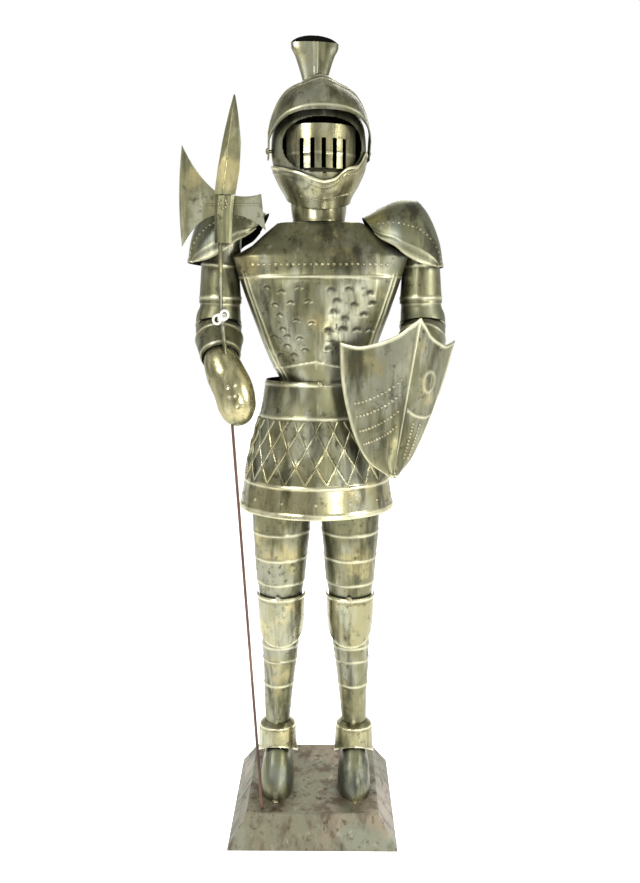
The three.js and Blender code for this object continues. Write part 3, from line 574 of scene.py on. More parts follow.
def closing(nodes: Nodes, start: bpy.types.Node, instances: bpy.types.NodeSocket) -> None:
    """End a tree: real meshes, smooth, with the given material.

    Args:
        nodes: The tree's writer.
        start: The tree's input node.
        instances: The instances to make real.
    """
    real = nodes.add("GeometryNodeRealizeInstances", {0: instances})
    smooth = nodes.add("GeometryNodeSetShadeSmooth", {"Geometry": real.outputs[0]})
    painted = nodes.add("GeometryNodeSetMaterial", {
        "Geometry": smooth.outputs[0], "Material": start.outputs["Material"]})
    nodes.add("NodeGroupOutput", {0: painted.outputs[0]})


def stud_tree() -> tuple[bpy.types.NodeTree, dict[str, str]]:
    """Tree that sets a domed stud on every point, its axis along the point's facing.

    Returns:
        The tree, and its socket identifiers by name.
    """
    nodes, sockets, start = grouped_tree("studs", {"Radius": 0.002, "Height": 0.6, "Uneven": 0.2})
    dome = nodes.add("GeometryNodeMeshUVSphere", {"Segments": 12, "Rings": 8})
    nodes.tree.links.new(start.outputs["Radius"], dome.inputs["Radius"])
    facing = nodes.add("GeometryNodeInputNamedAttribute", {"Name": "facing"}, data_type="FLOAT_VECTOR")
    turned = nodes.add("FunctionNodeAlignRotationToVector", {"Vector": facing.outputs[0]}, axis="Z")
    least = nodes.add("ShaderNodeMath", {0: 1.0, 1: start.outputs["Uneven"]}, operation="SUBTRACT")
    most = nodes.add("ShaderNodeMath", {0: 1.0, 1: start.outputs["Uneven"]}, operation="ADD")
    size = nodes.add("FunctionNodeRandomValue", {2: least.outputs[0], 3: most.outputs[0], "Seed": 7},
                     data_type="FLOAT")
    flat = nodes.add("ShaderNodeMath", {0: size.outputs[1], 1: start.outputs["Height"]}, operation="MULTIPLY")
    scale = nodes.add("ShaderNodeCombineXYZ", {0: size.outputs[1], 1: size.outputs[1], 2: flat.outputs[0]})
    set_down = nodes.add("GeometryNodeInstanceOnPoints", {
        "Points": start.outputs[0], "Instance": dome.outputs[0], "Rotation": turned.outputs[0],
        "Scale": scale.outputs[0]})
    closing(nodes, start, set_down.outputs[0])
    return nodes.tree, sockets


def blob_tree() -> tuple[bpy.types.NodeTree, dict[str, str]]:
    """Tree that sets a lumpy drop of solder on every point, pressed flat along its facing.

    Returns:
        The tree, and its socket identifiers by name.
    """
    nodes, sockets, start = grouped_tree("solder_drops", {"Radius": 0.008, "Height": 0.4, "Lumps": 0.35})
    ball = nodes.add("GeometryNodeMeshIcoSphere", {"Subdivisions": 4})
    nodes.tree.links.new(start.outputs["Radius"], ball.inputs["Radius"])
    facing = nodes.add("GeometryNodeInputNamedAttribute", {"Name": "facing"}, data_type="FLOAT_VECTOR")
    turned = nodes.add("FunctionNodeAlignRotationToVector", {"Vector": facing.outputs[0]}, axis="Z")
    spin = nodes.add("FunctionNodeRandomValue", {2: 0.0, 3: 6.28, "Seed": 3}, data_type="FLOAT")
    twist = nodes.add("ShaderNodeCombineXYZ", {2: spin.outputs[1]})
    local = nodes.add("FunctionNodeRotateRotation", {
        "Rotation": turned.outputs[0], "Rotate By": twist.outputs[0]}, rotation_space="LOCAL")
    scale = nodes.add("ShaderNodeCombineXYZ", {0: 1.0, 1: 0.72, 2: start.outputs["Height"]})
    drops = nodes.add("GeometryNodeInstanceOnPoints", {
        "Points": start.outputs[0], "Instance": ball.outputs[0], "Rotation": local.outputs[0],
        "Scale": scale.outputs[0]})
    real = nodes.add("GeometryNodeRealizeInstances", {0: drops.outputs[0]})
    where = nodes.add("GeometryNodeInputPosition")
    lumps = nodes.add("ShaderNodeTexNoise", {"Vector": where.outputs[0], "Scale": 130.0, "Detail": 2.0})
    centred = nodes.add("ShaderNodeVectorMath", {0: lumps.outputs["Color"], 1: (0.5, 0.5, 0.5)},
                        operation="SUBTRACT")
    reach = nodes.add("ShaderNodeMath", {0: start.outputs["Radius"], 1: start.outputs["Lumps"]},
                      operation="MULTIPLY")
    push = nodes.add("ShaderNodeVectorMath", {0: centred.outputs[0], "Scale": reach.outputs[0]},
                     operation="SCALE")
    moved = nodes.add("GeometryNodeSetPosition", {"Geometry": real.outputs[0], "Offset": push.outputs[0]})
    closing(nodes, start, moved.outputs[0])
    return nodes.tree, sockets


def wire_tree() -> tuple[bpy.types.NodeTree, dict[str, str]]:
    """Tree that runs a half-round wire along every line of a mesh.

    Returns:
        The tree, and its socket identifiers by name.
    """
    nodes, sockets, start = grouped_tree("wires", {"Radius": 0.001})
    line = nodes.add("GeometryNodeMeshToCurve", {0: start.outputs[0]})
    profile = nodes.add("GeometryNodeCurvePrimitiveCircle", {"Resolution": 8})
    nodes.tree.links.new(start.outputs["Radius"], profile.inputs["Radius"])
    tube = nodes.add("GeometryNodeCurveToMesh", {
        "Curve": line.outputs[0], "Profile Curve": profile.outputs[0], "Fill Caps": True})
    closing(nodes, start, tube.outputs[0])
    return nodes.tree, sockets


class Fittings:
    """Makes the repeated small things: studs, solder drops and raised wires."""

    def __init__(self, finishes: Finishes) -> None:
        """Build the node trees once.

        Args:
            finishes: The suit's finishes.
        """
        self.finishes = finishes
        self.studs = stud_tree()
        self.drops = blob_tree()
        self.wires = wire_tree()

    def grown(self, name: str, points: np.ndarray, edges: Sequence[tuple[int, int]],
              facing: np.ndarray | None, tree: tuple[bpy.types.NodeTree, dict[str, str]],
              values: dict[str, object], body: str) -> bpy.types.Object:
        """Run a tree on a mesh of points and keep the result as a plain mesh.

        Args:
            name: The piece's name.
            points: Places, millimetres from the plinth's middle.
            edges: Lines between the points, or none.
            facing: A direction for each point, or None.
            tree: The tree and its socket identifiers.
            values: Inputs by name.
            body: The CAD body it rides on.

        Returns:
            The finished piece.
        """
        seed = bpy.data.meshes.new(f"{name}_seed")
        seed.from_pydata(((points + SHIFT) * MM).tolist(), list(edges), [])
        if facing is not None:
            layer = seed.attributes.new("facing", "FLOAT_VECTOR", "POINT")
            layer.data.foreach_set("vector", facing.astype(np.float32).ravel())
        thing = bpy.data.objects.new(name, seed)
        bpy.context.scene.collection.objects.link(thing)
        modifier = thing.modifiers.new("grow", "NODES")
        modifier.node_group = tree[0]
        for key, value in values.items():
            modifier[tree[1][key]] = value
        bpy.context.view_layer.update()
        graph = bpy.context.evaluated_depsgraph_get()
        mesh = bpy.data.meshes.new_from_object(thing.evaluated_get(graph))
        thing.modifiers.clear()
        thing.data = mesh
        mesh.name = name
        bpy.data.meshes.remove(seed)
        return finish_piece(thing, values["Material"], body=body)

    def stud_row(self, name: str, found: tuple[np.ndarray, np.ndarray], radius: float,
                 height: float = 0.6, material: bpy.types.Material | None = None,
                 body: str = "figure") -> bpy.types.Object:
        """Studs on points of a plate; radius in millimetres, height as a share of it."""
        values = {"Radius": radius * MM, "Height": height, "Material": material or self.finishes.brassy}
        return self.grown(name, found[0], (), found[1], self.studs, values, body)

    def solder(self, name: str, found: tuple[np.ndarray, np.ndarray], radius: float,
               height: float = 0.4) -> bpy.types.Object:
        """Solder drops on points of a plate."""
        values = {"Radius": radius * MM, "Height": height, "Material": self.finishes.solder}
        return self.grown(name, found[0], (), found[1], self.drops, values, "figure")

    def wire(self, name: str, lines: Sequence[np.ndarray], radius: float, material: bpy.types.Material,
             body: str = "figure") -> bpy.types.Object:
        """Raised wires along lines of points.

        Args:
            name: The piece's name.
            lines: Lines of points, millimetres from the plinth's middle.
            radius: Radius, millimetres.
            material: The piece's finish.
            body: The CAD body it rides on.

        Returns:
            The finished piece.
        """
        points = np.concatenate(lines)
        edges: list[tuple[int, int]] = []
        start = 0
        for line in lines:
            edges += [(start + i, start + i + 1) for i in range(len(line) - 1)]
            start += len(line)
        values = {"Radius": radius * MM, "Material": material}
        return self.grown(name, points, edges, None, self.wires, values, body)


def joined(found: Sequence[tuple[np.ndarray, np.ndarray]]) -> tuple[np.ndarray, np.ndarray]:
    """Put several lists of points and facings together."""
    return np.concatenate([a for a, _ in found]), np.concatenate([b for _, b in found])


def spaced(start: Sequence[float], end: Sequence[float], pitch: float) -> list[tuple[float, float]]:
    """Places along a line, both ends kept, about a pitch apart."""
    count = max(2, round(math.hypot(end[0] - start[0], end[1] - start[1]) / pitch) + 1)
    return [(start[0] + (end[0] - start[0]) * t, start[1] + (end[1] - start[1]) * t)
            for t in np.linspace(0, 1, count)]


# ---------------------------------------------------------------- tubes
def ring_grid(stations: Rows, heights: np.ndarray, columns: int, middle_y: float = 0.0,
              dip: Callable[[np.ndarray], np.ndarray] | None = None) -> np.ndarray:
    """Rings of an upright tube.

    Args:
        stations: Rows of (z, x, half width, front depth, back depth).
        heights: z of each ring.
        columns: Points on a ring.
        middle_y: y of the tube's axis.
        dip: How far the front of a ring hangs below its height.

    Returns:
        The grid, which wraps.
    """
    turn = turns_round(columns)[None, :]
    z = heights[:, None]
    x, half, front, back = (smooth_at(stations, z, column) for column in range(1, 5))
    share = (1 + np.cos(turn)) / 2
    depth = np.where(np.cos(turn) > 0, front, back)
    lower = 0.0 if dip is None else dip(z) * share
    return np.stack(np.broadcast_arrays(
        x + half * np.sin(turn), middle_y - depth * np.cos(turn), z - lower), -1)


def bead_rise(heights: np.ndarray, beads: Sequence[float], reach: float = BEAD_REACH) -> np.ndarray:
    """Height share of rolled beads for each row of an upright tube."""
    return sum((hump(heights - bead, reach) for bead in beads), np.zeros_like(heights))[:, None]


def bent_grid(stations: Rows, rows: int, columns: int) -> np.ndarray:
    """Rings of a bent tube.

    Args:
        stations: Rows of (x, y, z, radius across, radius along the bend).
        rows: How many rings.
        columns: Points on a ring.

    Returns:
        The grid, which wraps.
    """
    table = np.asarray(stations, dtype=float)
    steps = np.linalg.norm(np.diff(table[:, :3], axis=0), axis=1)
    keyed = np.column_stack([np.concatenate([[0], np.cumsum(steps)]), table])
    at = np.linspace(0, keyed[-1, 0], rows)
    line = np.stack([smooth_at(keyed, at, column) for column in (1, 2, 3)], -1)
    across, along = smooth_at(keyed, at, 4), smooth_at(keyed, at, 5)
    tangent = np.gradient(line, axis=0)
    tangent /= np.linalg.norm(tangent, axis=1, keepdims=True)
    side = np.array([1.0, 0, 0]) - tangent * tangent[:, :1]
    side /= np.linalg.norm(side, axis=1, keepdims=True)
    fore = np.cross(side, tangent)
    turn = turns_round(columns)[None, :, None]
    return (line[:, None] + side[:, None] * across[:, None, None] * np.sin(turn)
            + fore[:, None] * along[:, None, None] * np.cos(turn))


# ---------------------------------------------------------------- legs
LEG_MID = 5.5


@dataclass
class Leg:
    """One leg: shoe, ankle cuff, shin, thigh and knee cop.

    Args:
        side: Which leg.
        shin: Rows of (z, distance from the legs' middle, half width, front depth, back depth).
        thigh: The same for the thigh.
        knee: Rows of (z, half width, front depth).
        shoe: Rows of (y, half width, height over the plinth).
        cuff: Rows of (height share, half width, front depth, back depth).
    """

    side: Side
    shin: Rows = ((172, 94, 27, 28, 27), (222, 93, 29.3, 30, 29), (320, 89, 36, 37, 36),
                  (385, 86, 41, 43, 41), (425, 84.5, 44, 46, 43), (499.6, 82, 47, 49, 44))
    thigh: Rows = ((500, 82, 47.2, 49.2, 44.2), (552, 82.5, 52, 54, 50), (588, 82, 58, 58, 55),
                   (650, 81.5, 63, 63, 60), (705, 80.5, 67, 66, 64), (800, 80, 69.5, 69, 67))
    knee: Rows = ((424, 49, 52), (455, 51.5, 57), (495, 55.4, 61), (534, 56, 61), (546, 56, 60))
    shoe: Rows = ((-106, 4, 5), (-100, 17, 26), (-88, 29, 52), (-68, 36, 82), (-45, 38.5, 102),
                  (-10, 38.5, 104), (20, 36, 103), (31, 27, 96), (38, 10, 84))
    cuff: Rows = ((0, 47.5, 52, 46), (0.5, 45.5, 49, 44), (0.86, 42.5, 45, 41), (1, 30.6, 29.4, 31.9))
    cuff_top: float = 222
    cuff_low: float = 138
    arch: float = 36
    floor: float = 67.4

    def column(self, rows: Rows) -> Rows:
        """Set a table of stations beside the legs' middle."""
        return [(z, LEG_MID + self.side.value * x, *rest) for z, x, *rest in rows]

    def greave(self) -> Plate:
        """The shin's tube.

        Returns:
            The sheet.
        """
        z = np.linspace(172, 499.6, 110)
        grid = ring_grid(self.column(self.shin), z, 96)
        beads = bead_rise(z, (318, 382, 417))
        dents = 0.5 * np.sin(grid[..., 2] / 31.0 + grid[..., 0] / 9.0)
        return Plate(grid, wrap=True, relief=BEAD * beads + dents, worn=beads * 0.9)

    def cuisse(self) -> Plate:
        """The thigh's tube, its beads hanging lower in front.

        Returns:
            The sheet.
        """
        z = np.linspace(500, 800, 104)
        grid = ring_grid(self.column(self.thigh), z, 120)
        turn = turns_round(120)[None, :]
        sag = 7 * (1 + np.cos(turn)) / 2
        lines = (582.0, 642.0, 703.0)
        beads = sum(hump(z[:, None] + sag - line, BEAD_REACH) for line in lines)
        dents = 0.6 * np.sin(grid[..., 2] / 37.0 + turn * 5)
        return Plate(grid, wrap=True, relief=BEAD * beads + dents, worn=beads * 0.9)

    def knee_cop(self) -> Plate:
        """The knee plate, open behind, with a rolled top and a centre flute; dress sets its rivet.

        Returns:
            The sheet.
        """
        levels = np.linspace(0, 1, 56)[:, None]
        turn = np.radians(np.linspace(-100, 100, 84))[None, :]
        low = 424 + 46 * (1 - np.cos(turn)) ** 1.3
        z = low + (546 - low) * levels
        middle = LEG_MID + self.side.value * float(smooth_at(self.shin, 499.6))
        grid = np.stack(np.broadcast_arrays(
            middle + smooth_at(self.knee, z, 1) * np.sin(turn),
            -smooth_at(self.knee, z, 2) * np.cos(turn), z), -1)
        top = hump(grid[..., 2] - 541.5, 3.4)
        flute = hump(grid[..., 0] - middle, 3.0) * np.clip((530 - grid[..., 2]) / 30, 0, 1)
        edge = hump(levels * (546 - low), 3.0)
        relief = 3.0 * top + 1.2 * flute + 0.8 * edge
        # A darker band just under the rolled top.
        return Plate(grid, relief=relief, worn=np.maximum(top, 0.7 * edge), stain_and_shade=0.25 * hump(
            grid[..., 2] - 533, 3.0))

    def sabaton(self, middle: float) -> Plate:
        """The pointed shoe with lengthwise facets."""
        arch = np.linspace(0, math.pi, 84)[None, :]
        keys = np.asarray(self.shoe)[:, 0]
        y = np.interp(np.linspace(0, 1, 76), np.linspace(0, 1, len(keys)), keys)[:, None]
        half, height = smooth_at(self.shoe, y, 1), smooth_at(self.shoe, y, 2)
        grid = np.stack(np.broadcast_arrays(
            middle - half * power(np.cos(arch), 0.8), y,
            self.floor + height * power(np.sin(arch), 0.8)), -1)
        facets = np.cos(arch * 14) * np.clip((y + 108) / 40, 0, 1) * np.ones_like(y)
        ribs = np.clip(facets - 0.4, 0, 1)
        # Darker in the grooves between the facets.
        return Plate(grid, relief=0.5 * ribs, worn=0.15 * ribs, outward=None,
                     stain_and_shade=0.25 * np.clip(-facets - 0.5, 0, 1))

    def ankle_cuff(self, middle: float) -> Plate:
        """The flared cuff over the shoe, arched up in front."""
        share = np.concatenate([np.linspace(0, 0.86, 36), np.linspace(0.87, 1, 10)])[:, None]
        turn = turns_round(104)[None, :]
        half, front, back = (smooth_at(self.cuff, share, column) for column in (1, 2, 3))
        low = self.cuff_low + self.arch * np.maximum(np.cos(turn), 0) ** 1.2
        depth = np.where(np.cos(turn) > 0, front, back)
        grid = np.stack(np.broadcast_arrays(
            middle + half * np.sin(turn), -2 - depth * np.cos(turn),
            low + (self.cuff_top - low) * share), -1)
        rim = hump((share - 0.0) * 84, 4.0)
        ridge = hump((share - 0.86) * 84, 3.0)
        return Plate(grid, wrap=True, relief=1.4 * rim + 0.8 * ridge,
                     worn=np.maximum(rim, ridge) * np.ones_like(turn))

    def build(self, finishes: Finishes, fittings: Fittings) -> None:
        """Make the leg's plates and dress them with dots, rivets and solder.

        Args:
            finishes: The suit's finishes.
            fittings: Maker of small repeated things.
        """
        word = self.side.word
        plates = {"shin": self.greave(), "thigh": self.cuisse(), "knee_cop": self.knee_cop()}
        ankle = LEG_MID + self.side.value * 93
        plates["shoe"] = self.sabaton(ankle)
        plates["ankle_cuff"] = self.ankle_cuff(ankle)
        looks = {"shin": (finishes.plate, Slot.PLATE), "thigh": (finishes.plate, Slot.PLATE),
                 "knee_cop": (finishes.brassy, Slot.BRASSY), "shoe": (finishes.dark, Slot.DARK),
                 "ankle_cuff": (finishes.brassy, Slot.BRASSY)}
        for kind, plate in plates.items():
            material, slot = looks[kind]
            finish_piece(plate.mesh(f"{kind}_{word}_plate"), material, [f"{kind}_{word}"])
            LOG.info("leg %s: %s", word, kind)
        self.dress(plates, fittings, ankle)

    def dress(self, plates: dict[str, Plate], fittings: Fittings, ankle: float) -> None:
        """Dots round the cuff, rivets on knee and shin, solder where the sheets meet."""
        word = self.side.word
        cuff, knee = plates["ankle_cuff"], plates["knee_cop"]
        ring = np.linspace(0, 1, 54, endpoint=False)
        rows = [cuff.along(0.68, ring), cuff.along(0.12, ring + 0.01)]
        fittings.stud_row(f"cuff_dots_{word}", joined(rows), 1.3, 0.7)
        middle = LEG_MID + self.side.value * 82
        fittings.stud_row(f"knee_rivet_{word}", knee.nearest([(middle, 488)]), 3.4, 0.8)
        tops = joined([knee.nearest([(middle - 4, 549)]), plates["shin"].nearest([(ankle - 3, 224)])])
        fittings.solder(f"leg_solder_{word}", tops, 8.0)
        if self.side is Side.RIGHT:
            fittings.stud_row("shin_rivets", plates["shin"].nearest([(96, 292), (97, 284)]), 1.8, 0.8)


# ---------------------------------------------------------------- skirt
@dataclass
class Skirt:
    """Belt, lattice and hem, one under the other.

    Args:
        rows: Rows of (z, x, half width, front depth, back depth), from the hem to the belt.
        joints: Heights where the three plates meet.
    """

    rows: Rows = ((764, 8, 178.5, 146, 140), (835, 8, 165.5, 135, 130), (900, 8, 150, 122, 118),
                  (966, 8, 132, 110, 106), (1000, 8, 124.5, 104, 101), (1052, 8, 115.5, 98.6, 95.6))
    joints: tuple[float, float, float, float] = (764, 834.8, 965.8, 1052)
    strips: int = 22

    @staticmethod
    def dip(z: np.ndarray) -> np.ndarray:
        """How far the front hangs."""
        return straight_at(((764, 10), (834, 6), (965, 0)), z)

    def plate(self, low: float, high: float, beads: Sequence[float], columns: int = 260) -> Plate:
        """One of the three plates."""
        z = np.linspace(low, high, max(24, int((high - low) / 2.0)))
        grid = ring_grid(self.rows, z, columns, dip=self.dip)
        rise = bead_rise(z, beads)
        return Plate(grid, wrap=True, relief=BEAD * rise, worn=rise * 0.9)

    def lattice(self) -> Plate:
        """The middle plate with a dimple in every diamond.

        Returns:
            The sheet.
        """
        low, high = self.joints[1] + 0.2, self.joints[2]
        z = np.linspace(low, high, 66)
        grid = ring_grid(self.rows, z, 300, dip=self.dip)
        turn = turns_round(300)[None, :]
        share = ((z - low) / (high - low))[:, None]
        across = turn * self.strips / (2 * math.pi)
        dimples = np.zeros(grid.shape[:2])
        for level, shift in ((0.28, 0.0), (0.56, 0.5), (0.83, 0.0)):
            near = np.abs((across + shift + 0.5) % 1 - 0.5)
            dimples += hump(near, 0.10) * hump(share - level, 0.085)
        return Plate(grid, wrap=True, relief=2.4 * dimples, worn=0.6 * np.clip(dimples, 0, 1),
                     stain_and_shade=0.2 * np.ones_like(dimples) - 0.2 * np.clip(dimples, 0, 1))

    def diamonds(self, plate: Plate) -> list[np.ndarray]:
        """Lines of the raised strips, over the plate both ways."""
        lines = []
        steps = np.linspace(0, 1, 22)
        for way in (-1, 1):
            for k in range(self.strips):
                turns = (k + 0.5 + way * 1.8 * steps) / self.strips
                points = [plate.along(step, np.array([turn % 1.0]))[0][0] for step, turn in zip(steps, turns)]
                lines.append(np.array(points))
        return lines

    def build(self, finishes: Finishes, fittings: Fittings) -> None:
        """Make the plates and lay strips, studs and bolts on them.

        Args:
            finishes: The suit's finishes.
            fittings: Maker of small repeated things.
        """
        hem_low, hem_high, belt_low, belt_high = self.joints
        hem = self.plate(hem_low, hem_high, (767, 772.5, 828))
        belt = self.plate(belt_low + 0.4, belt_high, (972, 1044))
        # Painted dark reflection: a dark round patch on the front of the belt, left of the middle.
        belt.stain_and_shade = 0.75 * spots(belt.grid, ((-84, 1034),), 13.0) * (belt.grid[..., 1] < 0)
        lattice = self.lattice()
        finish_piece(hem.mesh("hem_plate"), finishes.brassy, ["skirt_hem"])
        finish_piece(lattice.mesh("lattice_plate"), finishes.plate, ["skirt_lattice"])
        finish_piece(belt.mesh("belt_plate"), finishes.plate, ["skirt_belt"])
        fittings.wire("lattice_strips", self.diamonds(lattice), 3.4, finishes.brassy)
        fittings.stud_row("hem_studs", hem.along(0.45, np.arange(14) / 14), 4.2, 0.8, finishes.solder)
        fittings.stud_row("lattice_bolts", lattice.nearest([(-107, 842), (124, 842)]), 4.0, 0.7,
                          finishes.dark)
        fittings.solder("belt_solder", belt.nearest([(18, 1046)]), 8.0)
        LOG.info("skirt")


# ---------------------------------------------------------------- trunk
@dataclass
class Trunk:
    """Breastplate and backplate.

    Args:
        front: Rows of (z, half width, y of the side edge, depth in the middle).
        back: The same behind.
        middle: x of the trunk's middle.
        marks: Places of the punched crescents, (x, z).
    """

    front: Rows = ((1024, 90, -0.4, 92), (1056, 94, -0.4, 96), (1096, 114, -0.4, 103),
                   (1140, 132, -0.4, 108), (1200, 155, -0.4, 111), (1248, 171, -6, 111),
                   (1290, 183, -28, 106), (1322, 191, -46, 99), (1345, 148, -46, 86),
                   (1370, 121, -40, 70), (1393.6, 94, -34, 56))
    back: Rows = ((1024, 89, -0.4, 87), (1056, 93, -0.4, 89), (1096, 114, -0.4, 96),
                  (1160, 140, -0.4, 102), (1248, 171, -6, 106), (1290, 183, -28, 104),
                  (1322, 191, -46, 98), (1345, 148, -46, 90), (1370, 121, -40, 76),
                  (1393.6, 94, -34, 57))
    middle: float = 17
    marks: Rows = ((-99, 1254), (-66, 1246), (-29, 1255), (-81, 1218), (-46, 1223), (-9, 1226),
                   (-71, 1196), (-34, 1185), (-1, 1179), (-65, 1166), (-85, 1149), (-55, 1151),
                   (-27, 1146), (-56, 1130), (-16, 1121), (-70, 1110), (-41, 1110), (41, 1250),
                   (78, 1251), (124, 1242), (53, 1227), (90, 1218), (130, 1220), (47, 1204),
                   (70, 1189), (111, 1196), (34, 1164), (65, 1166), (97, 1164), (125, 1164),
                   (37, 1124))

    def grid(self, rows: Rows, facing: int, columns: int, levels: int) -> np.ndarray:
        """Grid of one half of the trunk."""
        z = np.linspace(1024, 1393.6, levels)[:, None]
        turn = np.linspace(-math.pi / 2, math.pi / 2, columns)[None, :]
        plan = straight_at(((1056, 1), (1120, 0.8)), z)
        half, side, depth = (straight_at(rows, z, 1), straight_at(rows, z, 2), smooth_at(rows, z, 3))
        fade = straight_at(((1060, 0), (1096, 1), (1280, 1), (1322, 0)), z)
        keel = 5 * fade * hump(np.sin(turn), 0.12) if facing > 0 else 0.0
        bulge = (depth + side) * np.abs(np.cos(turn)) ** plan + keel
        return np.stack(np.broadcast_arrays(
            self.middle + facing * half * power(np.sin(turn), plan), facing * (side - bulge), z), -1)

    def crescents(self, grid: np.ndarray) -> np.ndarray:
        """Depth share of the punched crescents."""
        total = np.zeros(grid.shape[:2])
        for x, z in self.marks:
            across, up = grid[..., 0] - x, grid[..., 2] - z
            ring = hump(np.hypot(across, up + 4.0) - 7.0, 2.7)
            total = np.maximum(total, ring * np.clip((up + 4.5) / 5, 0, 1))
        return total

    def build(self, finishes: Finishes, fittings: Fittings) -> None:
        """Make both plates and dress the front.

        Args:
            finishes: The suit's finishes.
            fittings: Maker of small repeated things.
        """
        grid = self.grid(self.front, 1, 230, 168)
        punched = self.crescents(grid)
        half = straight_at(self.front, grid[..., 2], 1)
        edge = np.abs(grid[..., 0] - self.middle) - half
        low = np.clip((1290 - grid[..., 2]) / 20, 0, 1)
        sides = (hump(edge + 14, 2.2) + hump(edge + 22, 2.2)) * low
        ridge = hump(grid[..., 2] - 1277, 2.4)
        chevron = hump(grid[..., 2] - 1096 + 0.18 * np.abs(grid[..., 0] - 8), 2.2)
        dents = 0.7 * np.sin(grid[..., 0] / 23.0) * np.sin(grid[..., 2] / 41.0)
        lines = np.maximum(np.maximum(sides, ridge), chevron)
        # The crescents are darkened; above z 1283 the breastplate's top is painted shade, where the pauldrons
        # and collar overhang it.
        front = Plate(grid, relief=2.0 * lines - 2.6 * punched + dents,
                      worn=np.maximum(0.9 * lines, 0.2 * punched),
                      stain_and_shade=np.maximum(0.8 * punched, 0.3 * np.clip((grid[..., 2] - 1283) / 14, 0, 1)),
                      outward=(0, -1, 0))
        back = Plate(self.grid(self.back, -1, 120, 110), outward=(0, 1, 0))
        finish_piece(front.mesh("breast_plate_front"), finishes.plate, ["breastplate"])
        finish_piece(back.mesh("back_plate_rear"), finishes.plate, ["backplate"])
        dots = front.nearest(spaced((-128, 1303), (160, 1303), 12.5))
        fittings.stud_row("breast_dots", dots, 3.8, 0.85, finishes.solder)
        LOG.info("trunk")


